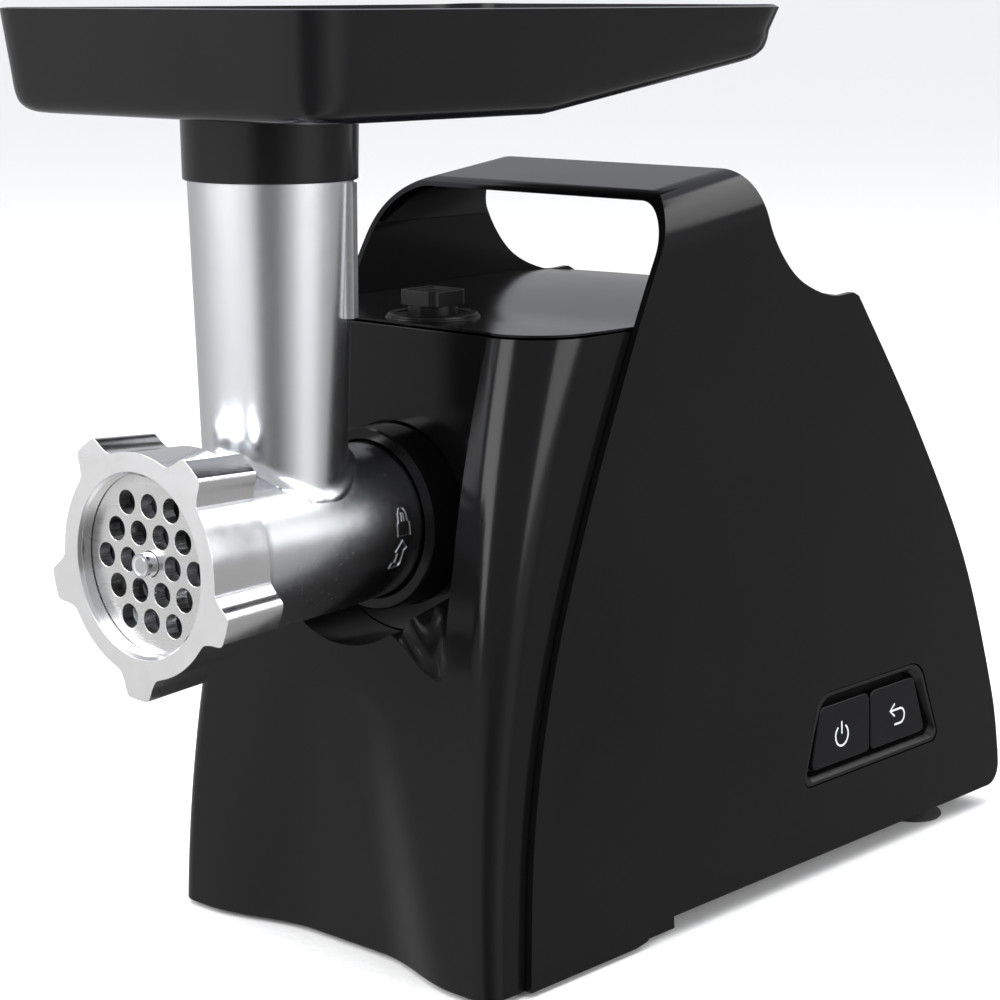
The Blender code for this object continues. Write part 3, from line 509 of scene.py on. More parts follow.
fascia = skin("fascia_shell", 150, 110, lambda u, v: fascia_point(u, v))
apply(fascia, "MIRROR", use_axis=(True, False, False), merge_threshold=0.00001)
back_edge = [bay_ring(i / 80, BAY_BACK) for i in range(81)]
back_wall = slab("bay_back", [(-x, z) for x, z in back_edge[:-1]] + back_edge[::-1],
                 BAY_BACK, BAY_BACK + WALL, "Y")
bpy.ops.mesh.primitive_cylinder_add(vertices=128, radius=33.0 * MM, depth=20 * MM,
                                    location=(0, BAY_BACK * MM, AXIS * MM), rotation=(math.pi / 2, 0, 0))
combine(back_wall, "DIFFERENCE", named("socket_hole"))
outward(fascia)
apply(fascia, "SOLIDIFY", thickness=1.6 * MM, offset=-1.0)
rounded(fascia, 0.7, 28)
rounded(back_wall, 0.4)
pick(fascia, back_wall)
bpy.ops.object.join()
settle(fascia)
fascia.data.materials.append(gloss.material)
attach(fascia, "housing")
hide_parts("front_fascia")


# ---- deck and back -------------------------------------------------------------------------------
# One gloss black sheet of ABS that covers the top behind the head and curves down the back. It lies
# between the side panels with a fine joint all round.

deck_back = smooth([(96.6, 220.2), (134.6, 168.0), (168.9, 109.5), (189.6, 51.0), (194.6, 20.0),
                    (194.8, 8.6)])
deck_front = FASCIA_FOOT + FASCIA_RAKE
deck_lead = [(deck_front + 24.0 * (1 - math.cos(math.radians(4.5 * i))), DECK) for i in range(20)]
deck_top = smooth([(deck_front + 24.0, DECK), (-30.0, DECK), (20.0, 225.0), (60.0, 225.6), (90.0, 223.9)])
deck_turn = smooth([(90.0, 223.9), (94.4, 222.6), (96.6, 220.2)])
deck_path = deck_lead + deck_top[:-1] + deck_turn[:-1] + deck_back


def deck_point(u, v):
    y, z = deck_path[round((1 - v) * (len(deck_path) - 1))]
    half = FASCIA_SIDE - SIDE_LEAN * z
    radius = 24.0
    ahead = y - deck_front
    if ahead < radius and z > 200:
        half = half - radius + math.sqrt(max(0.0, radius ** 2 - (radius - ahead) ** 2))
    share = 2 * u - 1
    fade = min(max((y + 40.0) / 50.0, 0.0), 1.0) * min(max((140.0 - y) / 50.0, 0.0), 1.0)
    return half * share, y, z - fade * share * share


deck = skin("deck_and_back", 40, len(deck_path) - 1, deck_point)
apply(deck, "SOLIDIFY", thickness=0.8 * MM, offset=-1.0)
outward(deck)
bpy.ops.mesh.primitive_cylinder_add(vertices=64, radius=14.4 * MM, depth=40 * MM,
                                    location=(0, KEY_Y * MM, 0.22))
guide_hole = named("guide_hole")
bpy.ops.mesh.primitive_cylinder_add(vertices=48, radius=7.2 * MM, depth=60 * MM,
                                    location=(0, 0.19, 0.04), rotation=(math.pi / 2, 0, 0))
cord_hole = named("cord_hole")
bay_gap = [(-46.7, -90.0), (46.7, -90.0), (46.7, BAY_BACK), (-46.7, BAY_BACK)]
combine(deck, "DIFFERENCE", guide_hole, cord_hole, slab("bay_gap", bay_gap, 200, 240, "Z"))
rounded(deck, 0.25)
settle(deck)
deck.data.materials.append(gloss.material)
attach(deck, "housing")
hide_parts("top_cover")

# ---- base and feet -------------------------------------------------------------------------------
# The base is a satin ABS tray held by four steel screws, with slots that let the motor's air in. Each
# foot is a moulded rubber button pushed into it, with grooves in its sole so that it grips.

rubber = Finish("black_rubber", (0.014, 0.014, 0.014), 0.82)
rubber.feed("Roughness", 0.72 + rubber.noise(90.0, 3.0) * 0.22)
rubber.feed("Base Color", rubber.blend(rubber.noise(60.0), (0.010, 0.010, 0.010), (0.022, 0.021, 0.020)))
rubber.bump(rubber.noise(1500.0), 0.00003, 0.7)


def turned(name, profile, centre=(0.0, 0.0, AXIS), axis="Y", steps=96):
    """A closed profile of (radius, place along the axis), spun round the axis."""
    bpy.ops.mesh.primitive_circle_add(vertices=len(profile), radius=0.1, fill_type="NOTHING")
    piece = named(name)
    middle = Vector(centre)
    line = {"X": Vector((1, 0, 0)), "Y": Vector((0, 1, 0)), "Z": Vector((0, 0, 1))}[axis]
    out = Vector((0, 0, 1)) if axis == "Y" else Vector((0, 1, 0))
    for corner, (radius, place) in zip(piece.data.vertices, profile):
        corner.co = (middle + out * radius + line * place) * MM
    bpy.ops.object.mode_set(mode="EDIT")
    bpy.ops.mesh.select_all(action="SELECT")
    bpy.ops.mesh.spin(steps=steps, angle=math.tau, center=tuple(middle * MM), axis=tuple(line))
    bpy.ops.object.mode_set(mode="OBJECT")
    return outward(piece)


satin.on("base_pan")
FOOT_TOP = 5.7
for end, y, x in (("front", -92.0, 60.0), ("rear", 157.6, 66.0)):
    for side_name, sign in (("left", -1), ("right", 1)):
        sole = [(0, 0.5), (5.0, 0.5), (5.3, 0), (7.0, 0), (7.3, 0.6), (8.6, 0.6), (8.9, 0), (12.0, 0),
                (12.5, 0.6), (12.2, 1.6), (10.2, 3.2), (9.5, 4.0), (9.2, FOOT_TOP), (0, FOOT_TOP)]
        foot = settle(turned(f"grip_foot_{end}_{side_name}", sole, (sign * x, y, 0), "Z", 48))
        foot.data.materials.append(rubber.material)
        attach(foot, "housing")
        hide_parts(f"foot_{end}_{side_name}")

# ---- head lock -----------------------------------------------------------------------------------
# The gloss black ring that the head's three lugs turn into, and above it the sprung button that frees
# the head: a square key with a dished top, on a round stem that runs in a double-beaded ring.

socket = turned("lock_ring", [(28.2, -94.0), (28.6, -94.4), (32.0, -94.4), (32.6, -93.8), (32.6, -76.5),
                              (40.0, -76.5), (40.0, -72.5), (36.0, -72.5), (36.0, -60.0), (31.4, -60.0),
                              (31.4, -73.0), (28.2, -73.0)])
settle(socket)
socket.data.materials.append(gloss.material)
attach(socket, "housing")
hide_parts("head_socket")

seat = DECK + SEAM
guide = turned("release_collar", [(9.2, 213.0), (13.8, 213.0), (13.8, seat), (16.6, seat),
                                  (17.0, seat + 0.4), (16.8, seat + 0.9), (16.1, seat + 1.05),
                                  (16.0, seat + 1.7), (15.6, seat + 2.0), (14.0, seat + 2.0),
                                  (13.6, seat + 1.7), (13.6, seat + 1.2), (9.2, seat + 1.2)], (0, KEY_Y, 0),
               "Z", 72)
settle(guide, 25)
guide.data.materials.append(satin.material)
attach(guide, "housing")
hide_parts("release_guide")

key_plan = []
for corner_x, corner_y, start in ((5.8, 5.8, 0), (-5.8, 5.8, 90), (-5.8, -5.8, 180), (5.8, -5.8, 270)):
    key_plan += [(x, y + KEY_Y) for x, y in arc((corner_x, corner_y), 3.0, start, start + 90, 8)]
release = slab("release_key", key_plan, seat + 4.6, 233.4, "Z")
bpy.ops.object.mode_set(mode="EDIT")
bpy.ops.mesh.select_all(action="DESELECT")
bpy.ops.object.mode_set(mode="OBJECT")
for polygon in release.data.polygons:
    polygon.select = polygon.normal.z > 0.9
bpy.ops.object.mode_set(mode="EDIT")
bpy.ops.mesh.inset(thickness=1.4 * MM, depth=0)
bpy.ops.mesh.inset(thickness=1.2 * MM, depth=-0.7 * MM)
bpy.ops.object.mode_set(mode="OBJECT")
rounded(release, 0.6, 25, 3)
stem = turned("release_stem", [(0, 194.0), (3.0, 194.0), (3.0, 209.0), (8.8, 209.0), (8.8, 229.0),
                               (0, 229.0)], (0, KEY_Y, 0), "Z", 48)
combine(release, "UNION", stem)
settle(release)
release.data.materials.append(satin.material)
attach(release, "release")
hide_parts("release_button")

# ---- switches ------------------------------------------------------------------------------------
# Two gloss key caps in a satin frame with sloping sides, sunk in the right panel. Each cap rocks on its
# stem over a switch on the circuit board, and carries a pad-printed pale grey symbol.

CAP_FACE, CAP_BACK, WELL_DEPTH, BEZEL_BACK, STEM_END = 1.0, 4.1, 7.0, 9.4, 12.0


def loft(name, rings):
    """A solid through closed rings with the same number of points."""
    count = len(rings[0])
    piece = skin(name, count, len(rings) - 1,
                 lambda u, v: rings[round(v * (len(rings) - 1))][round(u * count) % count])
    bpy.ops.object.mode_set(mode="EDIT")
    bpy.ops.mesh.select_all(action="SELECT")
    bpy.ops.mesh.remove_doubles(threshold=MERGE)
    bpy.ops.mesh.fill_holes(sides=0)
    bpy.ops.object.mode_set(mode="OBJECT")
    return outward(piece)


bezel = to_panel(slab("key_frame", switch_outline(0.4), -BEZEL_BACK, -0.2, "X"))
well = loft("key_well", [[(depth, y, z) for y, z in switch_outline(inset)]
                         for depth, inset in ((-WELL_DEPTH, 3.5), (-2.4, 3.3), (1.0, 0.8))])
combine(bezel, "DIFFERENCE", to_panel(well))
rounded(bezel, 0.25)


def cap_outline(low_y, high_y, slant_low, slant_high):
    low, high, corner = 42.0, 66.0, 3.0
    return (arc((low_y + corner, low + corner), corner, 270, 180, 8)
            + arc((low_y + slant_low + corner, high - corner), corner, 180, 90, 8)
            + arc((high_y - slant_high - corner, high - corner), corner, 90, 0, 8)
            + arc((high_y - corner, low + corner), corner, 0, -90, 8))


def stroke(name, path, width, place, closed=False):
    """A flat printed line along a path, laid on a surface by place."""
    ends = path if not closed else path + path[:2]
    sides = []
    for i, (a, b) in enumerate(ends):
        before, after = ends[max(i - 1, 0)], ends[min(i + 1, len(ends) - 1)]
        run = math.dist(before, after) or 1.0
        across = (-(after[1] - before[1]) / run, (after[0] - before[0]) / run)
        sides.append([(a + across[0] * width * k, b + across[1] * width * k) for k in (-0.5, 0.5)])
    count = len(ends) - 1
    piece = skin(name, count, 1, lambda u, v: place(*sides[round(u * count)][round(v)]))
    return piece


def gather(name, pieces):
    pick(*pieces)
    if len(pieces) > 1:
        bpy.ops.object.join()
    return named(name)


key_gloss = Finish("key_black_plastic", (0.004, 0.004, 0.005), 0.12, Specular_IOR_Level=0.2)
key_gloss.feed("Roughness", 0.09 + key_gloss.noise(70.0, 3.0) * 0.09)
key_gloss.feed("Base Color", key_gloss.blend(key_gloss.noise(40.0), (0.003, 0.003, 0.004),
                                             (0.005, 0.005, 0.006)))
key_gloss.bump(key_gloss.noise(60.0), 0.00002)
ink = Finish("pale_print", (0.62, 0.63, 0.64), 0.5)
ink.feed("Base Color", ink.blend(ink.noise(900.0), (0.55, 0.56, 0.57), (0.70, 0.71, 0.72)))


def on_cap(y, height):
    return -CAP_FACE + 0.05, y, height


power = [stroke("power_ring", [(85.6 + 4.2 * math.sin(a), 52.6 + 4.2 * math.cos(a))
                               for a in [math.radians(35 + 290 * i / 40) for i in range(41)]], 0.8, on_cap),
         stroke("power_bar", [(85.6, 53.2), (85.6, 58.2)], 0.8, on_cap)]
back_arrow = [stroke("return_bow", [(124.0 - 2.0, 49.0), (126.0, 49.0), *arc((126.0, 52.0), 3.0, -90, 90, 16),
                                    (119.4, 55.0)], 0.8, on_cap),
              stroke("return_barb", [(122.2, 57.6), (119.0, 55.0), (122.2, 52.4)], 0.8, on_cap)]
marks = {"on_off": gather("power_mark", power), "reverse": gather("return_mark", back_arrow)}
for key, low_y, high_y, slant_low, slant_high in (("on_off", 66.0, 104.6, 5.0, 0.0),
                                                  ("reverse", 105.4, 143.0, 0.0, 6.0)):
    cap = slab(f"{key}_cap", cap_outline(low_y, high_y, slant_low, slant_high), -CAP_BACK, -CAP_FACE, "X")
    rounded(cap, 0.7, 50, 4)
    middle = (low_y + high_y) / 2
    cap_stem = turned(f"{key}_post", [(0, -STEM_END), (4.0, -STEM_END), (4.0, -CAP_BACK + 1.0),
                                      (0, -CAP_BACK + 1.0)], (0, middle, 53.0), "X", 32)
    combine(cap, "UNION", cap_stem)
    to_panel(cap)
    bpy.ops.mesh.primitive_cylinder_add(vertices=40, radius=4.6 * MM, depth=14 * MM,
                                        location=(-9 * MM, middle * MM, 53.0 * MM),
                                        rotation=(0, math.pi / 2, 0))
    hole = named(f"{key}_hole")
    bpy.ops.object.transform_apply(location=True, rotation=True, scale=True)
    combine(bezel, "DIFFERENCE", to_panel(hole))
    settle(cap)
    cap.data.materials.append(key_gloss.material)
    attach(cap, key)
    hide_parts(f"{key}_button")
    mark = marks[key]
    apply(mark, "SOLIDIFY", thickness=0.12 * MM, offset=0.0)
    to_panel(mark)
    settle(mark)
    mark.data.materials.append(ink.material)
    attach(mark, key)
settle(bezel)
bezel.data.materials.append(satin.material)
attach(bezel, "housing")
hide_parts("button_bezel")

# ---- head casting --------------------------------------------------------------------------------
# Die-cast aluminium, tumbled bright: the barrel that the auger turns in, the feed tube that grows out of
# it with a fillet, a rib that keys the tray, and three lugs that lock in the housing.

cast = Finish("cast_aluminium", (0.80, 0.81, 0.83), 0.24, 1.0)
grain = cast.noise(420.0, 3.0)
cloud = cast.noise(22.0, 3.0)
drawn = cast.noise(60.0, 2.0, (1.0, 1.0, 0.04))
cast.feed("Base Color", cast.blend(cloud, (0.70, 0.715, 0.74), (0.80, 0.81, 0.83)))
cast.feed("Roughness", 0.18 + grain * 0.08 + cloud * 0.06)
cast.bump(grain * 0.35 + drawn * 0.6, 0.00003, 0.4)

TUBE_Y, TUBE_TOP = -137.4, 277.0
barrel = turned("head_casting", [(0, -66.0), (26.6, -66.0), (27.4, -66.8), (27.4, -96.0), (28.0, -104.0),
                                 (28.8, -116.0), (29.5, -132.0), (30.2, -148.0), (30.6, -166.0),
                                 (31.2, -171.6), (32.0, -173.6), (34.0, -175.0), (34.0, -189.8),
                                 (0, -189.8)], steps=128)


def tube_ring(z, fillet):
    """The tube's outline at height z, spread towards the barrel it grows out of."""
    ring = []
    radius = 24.0 + 3.6 * (z - 165.0) / 112.0
    for i in range(96):
        turn = math.tau * i / 96
        x, y = math.cos(turn), math.sin(turn)
        over = 29.4 ** 2 - (radius * x) ** 2
        height = z - (AXIS + math.sqrt(max(over, 0.0)))
        near = max(0.0, 1 - max(height, 0.0) / 6.0) ** 2.4
        spread = radius + fillet * near * (0.32 + 0.68 * abs(y))
        ring.append((spread * x, TUBE_Y + spread * y, z))
    return ring


levels = [160.0] + [168.0 + 0.9 * i for i in range(34)] + [200.0, 208.0, 220.0, 235.0, 250.0, 265.0, TUBE_TOP]
tube = loft("tube", [tube_ring(z, 3.4) for z in levels])
rib = slab("tube_rib", [(-3.2, 0.0), (3.2, 0.0), (3.2, 5.6), (2.4, 7.2), (-2.4, 7.2), (-3.2, 5.6)],
           231.0, 275.6, "Z")
rib.matrix_world = (Matrix.Translation((0, TUBE_Y * MM, 0)) @ Matrix.Rotation(math.radians(-62), 4, "Z")
                    @ Matrix.Translation((0, 22.0 * MM, 0)))
bpy.ops.object.transform_apply(location=True, rotation=True, scale=True)
lugs = []
for i, angle in enumerate((90.0, 210.0, 330.0)):
    lug = arc((0, AXIS), 30.6, angle - 15, angle + 15, 10) + arc((0, AXIS), 25.0, angle + 15, angle - 15, 10)
    lugs.append(slab(f"lug_{i}", lug, -71.6, -66.5, "Y"))
combine(barrel, "UNION", tube, rib, *lugs)
tube_bore = loft("tube_bore", [[(radius * math.cos(math.tau * i / 96),
                                 TUBE_Y + radius * math.sin(math.tau * i / 96), z)
                                for i in range(96)] for radius, z in ((21.6, 158.0), (25.2, 282.0))])
combine(barrel, "DIFFERENCE",
        turned("barrel_bore", [(0, -84.0), (26.0, -84.0), (26.0, -177.4), (31.3, -177.4), (31.3, -195.0),
                               (0, -195.0)]),
        tube_bore,
        turned("shaft_hole", [(0, -90.0), (9.0, -90.0), (9.0, -74.1), (22.0, -74.0), (22.0, -54.0),
                              (0, -54.0)], steps=64))
settle(barrel, 32)
barrel.data.materials.append(cast.material)
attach(barrel, "head")
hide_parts("head_body")


def on_hub(y, angle):
    turn = math.radians(angle)
    radius = 27.4 + 0.6 * min(max((-96.0 - y) / 8.0, 0.0), 1.5) + 0.12
    return radius * math.cos(turn), y, AXIS + radius * math.sin(turn)


padlock = [(-107.2, -1.0), (-107.2, 8.0), (-106.6, 9.0), (-106.4, 15.0), (-105.4, 18.6), (-104.4, 19.6),
           (-103.2, 18.4), (-102.2, 15.0), (-102.0, 9.0), (-101.0, 8.4), (-100.8, -1.0)]
turn_arrow = [(-109.6, -24.0), (-108.8, -20.0), (-107.4, -19.4), (-106.8, -13.0), (-108.0, -12.0),
              (-104.8, -4.0), (-102.4, -10.0), (-103.8, -11.6), (-104.4, -22.0), (-106.0, -24.0)]
relief = gather("lock_marks", [stroke("padlock", padlock, 0.4, on_hub, closed=True),
                               stroke("shackle", [(-104.9, 9.2), (-104.7, 15.6), (-103.8, 15.2),
                                                  (-103.6, 9.2)], 0.35, on_hub),
                               stroke("turn_arrow", turn_arrow, 0.4, on_hub, closed=True)])
apply(relief, "SOLIDIFY", thickness=0.4 * MM, offset=0.0)
settle(relief)
raised = Finish("polished_relief", (0.9, 0.9, 0.91), 0.2, 1.0)
raised.feed("Roughness", 0.16 + raised.noise(300.0) * 0.1)
relief.data.materials.append(raised.material)
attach(relief, "head")

# ---- ring nut, plate, knife and auger ------------------------------------------------------------
# The nut is cast, its face turned to a fine satin and its flanks and five lugs polished. The plate is
# ground stainless with drilled, broken-edged holes. The knife is behind it, and the auger's pin comes
# through.

shine = Finish("polished_aluminium", (0.86, 0.86, 0.87), 0.14, 1.0)
shine.feed("Roughness", 0.10 + shine.noise(150.0, 4.0) * 0.14)
shine.feed("Base Color", shine.blend(shine.noise(26.0), (0.80, 0.80, 0.81), (0.90, 0.90, 0.91)))
shine.bump(shine.noise(300.0, 3.0), 0.00002, 0.5)
face = Finish("satin_turned_face", (0.80, 0.80, 0.81), 0.3, 1.0)
centred = face.node("ShaderNodeMapping", None, {"Vector": face.place, "Location": (0.0, 0.0, -AXIS * MM)})
rings = face.node("ShaderNodeTexWave", {"wave_type": "RINGS", "rings_direction": "Y"},
                  {"Vector": centred, "Scale": 900.0, "Distortion": 0.6, "Detail": 2.0, "Detail Scale": 3.0})
face.feed("Roughness", 0.24 + rings * 0.12 + face.noise(160.0) * 0.08)
face.feed("Base Color", face.blend(face.noise(35.0), (0.74, 0.74, 0.75), (0.86, 0.86, 0.87)))
face.bump(rings, 0.00001, 0.5)

NUT_FACE, NUT_BACK = -198.4, -173.4
nut_plan = []
for i in range(5):
    middle = 52.0 + 72.0 * i
    flank = smooth([(17.6, 37.5), (13.6, 38.0), (10.2, 40.4), (8.0, 43.2), (6.6, 44.6), (5.0, 45.0)], 5)
    rise = [(middle - a, r) for a, r in flank]
    fall = [(middle + a, r) for a, r in flank[::-1]]
    rest = [(middle - 54.2 + 36.2 * k / 14, 37.5) for k in range(14)]
    for a, r in rest + rise + [(middle, 45.0)] + fall:
        nut_plan.append((r * math.cos(math.radians(a)), AXIS + r * math.sin(math.radians(a))))


def nut_ring(y):
    """The nut's outline at y, a little smaller towards the barrel."""
    share = 1 - 0.035 * (y - NUT_FACE) / (NUT_BACK - NUT_FACE)
    return [(x * share, y, AXIS + (z - AXIS) * share) for x, z in nut_plan]


nut = loft("lobed_nut", [nut_ring(y) for y in (NUT_FACE, -190.0, -182.0, NUT_BACK)])
mouth = turned("nut_mouth", [(0, -205.0), (30.9, -205.0), (30.9, NUT_FACE + 0.2), (29.9, NUT_FACE + 1.2),
                             (29.9, NUT_FACE + 5.0), (34.4, NUT_FACE + 5.0), (34.4, -160.0), (0, -160.0)],
               steps=128)
combine(nut, "DIFFERENCE", mouth)
rounded(nut, 1.3, 40, 4)
settle(nut, 32)
nut.data.materials.append(shine.material)
nut.data.materials.append(face.material)
for polygon in nut.data.polygons:
    polygon.material_index = 1 if polygon.normal.y < -0.97 else 0
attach(nut, "nut")
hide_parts("ring_nut")

ground = Finish("ground_stainless", (0.72, 0.72, 0.72), 0.26, 1.0)
lines = ground.noise(90.0, 3.0, (1.0, 1.0, 14.0))
ground.feed("Roughness", 0.2 + lines * 0.16)
ground.feed("Base Color", ground.blend(ground.noise(50.0), (0.66, 0.66, 0.66), (0.78, 0.78, 0.775)))
ground.bump(lines, 0.00002, 0.5)
PLATE_FRONT, PLATE_BACK = -193.1, -188.3
plate = slab("mincing_plate", [(31.0 * math.cos(math.tau * i / 128),
                                AXIS + 31.0 * math.sin(math.tau * i / 128))
                               for i in range(128)], PLATE_FRONT, PLATE_BACK, "Y")
drills = []
for row in range(-2, 3):
    count = 5 - abs(row)
    for i in range(count):
        x = (i - (count - 1) / 2) * 11.0
        z = row * 11.0 * math.sqrt(3) / 2
        radius = 4.0 if row or x else 4.3
        bpy.ops.mesh.primitive_cylinder_add(vertices=40, radius=radius * MM, depth=20 * MM,
                                            location=(x * MM, -190 * MM, (AXIS + z) * MM),
                                            rotation=(math.pi / 2, 0, 0))
        drills.append(named(f"drill_{row}_{i}"))
combine(plate, "DIFFERENCE", gather("drills", drills))
rounded(plate, 0.35, 50, 2)
settle(plate)
plate.data.materials.append(ground.material)
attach(plate, "plate")
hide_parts("grinding_plate")

steel = Finish("turned_steel", (0.55, 0.55, 0.56), 0.3, 1.0)
steel.feed("Roughness", 0.24 + steel.noise(200.0, 3.0) * 0.16)
steel.feed("Base Color", steel.blend(steel.noise(40.0), (0.5, 0.5, 0.51), (0.62, 0.62, 0.62)))
steel.bump(steel.noise(120.0, 2.0, (1.0, 12.0, 1.0)), 0.00001, 0.5)
pin = turned("pin_end", [(0, -196.6), (1.0, -196.6), (1.5, -197.2), (3.2, -197.6), (4.05, -196.9),
                         (4.1, -193.5), (4.1, -190.0), (0, -190.0)], steps=64)
settle(pin, 25)
pin.data.materials.append(shine.material)
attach(pin, "auger")
dark_steel = Finish("tempered_knife_steel", (0.10, 0.10, 0.11), 0.42, 1.0)
dark_steel.feed("Roughness", 0.36 + dark_steel.noise(140.0, 3.0) * 0.18)
dark_steel.feed("Base Color", dark_steel.blend(dark_steel.noise(70.0), (0.07, 0.07, 0.08),
                                               (0.14, 0.14, 0.15)))
auger_cast = Finish("auger_casting", (0.42, 0.43, 0.44), 0.4, 1.0)
auger_cast.feed("Roughness", 0.34 + auger_cast.noise(300.0, 3.0) * 0.2)
auger_cast.feed("Base Color", auger_cast.blend(auger_cast.noise(30.0), (0.36, 0.37, 0.38),
                                               (0.50, 0.51, 0.52)))
auger_cast.bump(auger_cast.noise(420.0, 3.0), 0.00004, 0.5)
auger_cast.on("auger")
dark_steel.on("knife")
steel.on("auger_coupling", "base_screw_front_left", "base_screw_front_right", "base_screw_rear_left",
         "base_screw_rear_right", "release_spring")

# ---- loading tray --------------------------------------------------------------------------------
# A deep tray moulded in black ABS with a fine satin skin, its floor sloping down to the mouth. A collar
# under the mouth pushes on to the feed tube.

tray_black = Finish("tray_black_plastic", (0.016, 0.016, 0.018), 0.26, Specular_IOR_Level=0.3)
tray_black.feed("Roughness", 0.12 + tray_black.noise(48.0, 3.0) * 0.08)
tray_black.feed("Base Color", tray_black.blend(tray_black.noise(20.0), (0.0032, 0.0032, 0.0038),
                                               (0.005, 0.005, 0.0056)))
tray_black.bump(tray_black.noise(1800.0, 2.0), 0.000012, 0.6)

RIM, TRAY_HALF, TRAY_FRONT, TRAY_REAR = 331.8, 79.4, -194.6, 47.4
TRAY_FLOOR, TRAY_RISE_FROM, TRAY_RISE = 297.4, -80.0, 0.14
SIDES = 168


def tray_floor(y):
    return TRAY_FLOOR + TRAY_RISE * max(0.0, y - TRAY_RISE_FROM)


def tray_ring(inset, corner):
    """A rounded rectangle with points evenly shared between its corners and sides."""
    half, front, rear = TRAY_HALF - inset, TRAY_FRONT + inset, TRAY_REAR - inset
    ring = []
    for cx, cy, start in ((half - corner, rear - corner, 0), (corner - half, rear - corner, 90),
                          (corner - half, front + corner, 180), (half - corner, front + corner, 270)):
        ring += arc((cx, cy), corner, start, start + 90, 20)
    ring.append(ring[0])
    return [along(ring, i / SIDES) for i in range(SIDES)]


wall_path = smooth([(22.0, 0.0, 14.0), (13.0, 0.15, 14.0), (8.0, 0.9, 14.2), (5.0, 3.2, 15.2),
                    (3.6, 6.4, 16.0), (2.9, 10.0, 16.6)], 5)
tray_rows = [[(28.6 * math.cos(a), TUBE_Y + 28.6 * math.sin(a), TRAY_FLOOR) for a in
              [math.atan2(y - TUBE_Y, x) for x, y in tray_ring(22.0, 14.0)]]]
for inset, up, corner in wall_path:
    tray_rows.append([(x, y, tray_floor(y) + up) for x, y in tray_ring(inset, corner)])
lower = tray_ring(2.9, 16.6)
upper = tray_ring(0.0, 18.0)
for i in range(1, 9):
    share = i / 8
    tray_rows.append([(a[0] + (b[0] - a[0]) * share, a[1] + (b[1] - a[1]) * share,
                       tray_floor(a[1]) + 10.0 + (RIM - tray_floor(a[1]) - 10.0) * share)
                      for a, b in zip(lower, upper)])
tray = skin("loading_tray", SIDES, len(tray_rows) - 1,
            lambda u, v: tray_rows[round(v * (len(tray_rows) - 1))][round(u * SIDES) % SIDES])
outward(tray)
apply(tray, "SOLIDIFY", thickness=2.2 * MM, offset=-1.0, use_even_offset=True)
collar = turned("tray_collar", [(28.0, 276.9), (28.3, 276.5), (28.8, 276.5), (29.1, 276.9),
                                (29.5, TRAY_FLOOR + 1.6), (28.0, TRAY_FLOOR + 1.6)], (0, TUBE_Y, 0), "Z", 128)
combine(tray, "UNION", collar)
rounded(tray, 0.35, 50, 2)
settle(tray)
tray.data.materials.append(tray_black.material)
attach(tray, "tray")
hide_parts("feed_tray")

# ---- gearbox -------------------------------------------------------------------------------------
# A grey glass-filled nylon case with three stages of spur gears: hobbed steel where the speed is high,
# natural nylon where the load is, running on ground shafts and a sintered bronze bush.

nylon = Finish("natural_nylon", (0.78, 0.76, 0.68), 0.45)
nylon.feed("Base Color", nylon.blend(nylon.noise(35.0), (0.70, 0.68, 0.59), (0.80, 0.78, 0.70)))
nylon.feed("Roughness", 0.38 + nylon.noise(80.0, 3.0) * 0.16)
nylon.bump(nylon.noise(700.0), 0.00003, 0.5)
filled = Finish("glass_filled_nylon", (0.12, 0.12, 0.115), 0.55)
filled.feed("Base Color", filled.blend(filled.noise(260.0, 4.0, (1.0, 6.0, 1.0)), (0.09, 0.09, 0.088),
                                       (0.16, 0.16, 0.155)))
filled.feed("Roughness", 0.48 + filled.noise(90.0, 3.0) * 0.2)
filled.bump(filled.noise(900.0), 0.00004, 0.6)
bronze = Finish("sintered_bronze", (0.55, 0.38, 0.2), 0.45, 1.0)
bronze.feed("Base Color", bronze.blend(bronze.noise(500.0, 4.0), (0.42, 0.28, 0.14), (0.62, 0.44, 0.24)))
bronze.feed("Roughness", 0.4 + bronze.noise(400.0) * 0.2)
nylon.on("output_gear", "second_gear", "brush_holder_left", "brush_holder_right", "fan")
filled.on("gearbox_case", "gearbox_cover")
bronze.on("output_bush")
steel.on("output_coupler", "second_shaft", "first_gear", "first_shaft", "motor_shaft", "bearing_front",
         "bearing_rear")

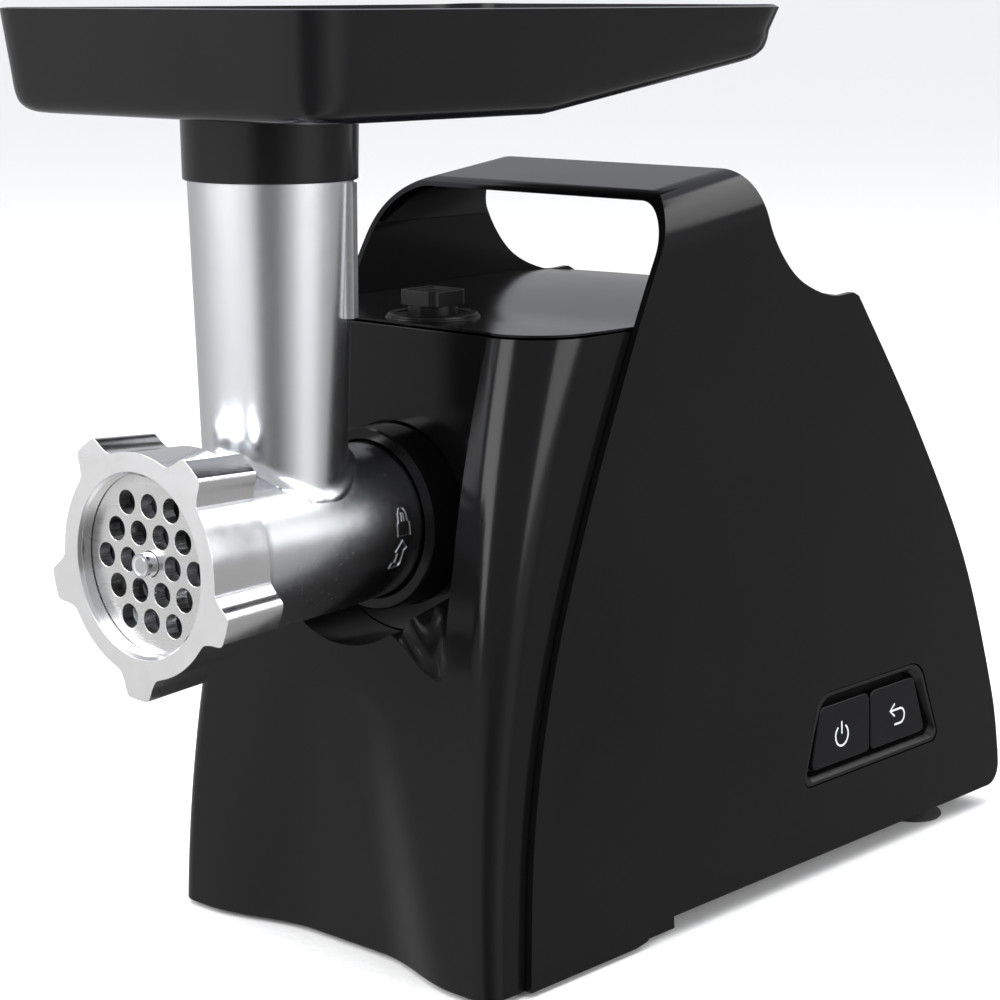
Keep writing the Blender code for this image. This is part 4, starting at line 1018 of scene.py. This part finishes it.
# ---- motor and switchgear ------------------------------------------------------------------------
# A series motor: stacks of varnished steel laminations, enamelled copper coils, a copper commutator with
# carbon brushes, and cast brackets. The switches stand on a lacquered circuit board behind the keys.

iron = Finish("varnished_laminations", (0.12, 0.12, 0.13), 0.45, 0.8)
sheets = iron.node("ShaderNodeTexWave", {"wave_type": "BANDS", "bands_direction": "Y"},
                   {"Vector": iron.place, "Scale": 320.0, "Distortion": 0.4})
iron.feed("Base Color", iron.blend(sheets, (0.06, 0.06, 0.065), (0.20, 0.20, 0.21)))
iron.feed("Roughness", 0.38 + iron.noise(60.0, 3.0) * 0.2)
iron.bump(sheets, 0.00005, 0.6)
copper = Finish("enamelled_copper", (0.6, 0.24, 0.1), 0.3, 1.0)
turns = copper.node("ShaderNodeTexWave", {"wave_type": "BANDS", "bands_direction": "Z"},
                    {"Vector": copper.place, "Scale": 260.0, "Distortion": 1.2, "Detail": 1.0})
copper.feed("Base Color", copper.blend(turns, (0.38, 0.13, 0.05), (0.68, 0.30, 0.13)))
copper.feed("Roughness", 0.24 + copper.noise(90.0) * 0.16)
copper.bump(turns, 0.0001, 0.7)
carbon = Finish("carbon_and_phenolic", (0.03, 0.03, 0.034), 0.6)
carbon.feed("Base Color", carbon.blend(carbon.noise(300.0, 3.0), (0.018, 0.018, 0.02), (0.05, 0.05, 0.055)))
carbon.feed("Roughness", 0.5 + carbon.noise(120.0, 3.0) * 0.24)
board = Finish("lacquered_board", (0.02, 0.14, 0.05), 0.35)
tracks = board.node("ShaderNodeTexVoronoi", {"feature": "DISTANCE_TO_EDGE"},
                    {"Vector": board.place, "Scale": 130.0})
board.feed("Base Color", board.blend(board.ramp(tracks, 0.05, 0.09), (0.05, 0.24, 0.09),
                                     (0.012, 0.10, 0.035)))
board.feed("Roughness", 0.28 + board.noise(150.0) * 0.14)
iron.on("motor_stator", "armature")
copper.on("field_coil_top", "field_coil_bottom", "commutator")
cast.on("motor_bracket_front", "motor_bracket_rear")
carbon.on("brush_left", "brush_right", "on_off_switch", "reverse_switch")
board.on("circuit_board")
rubber.on("cord_gland")
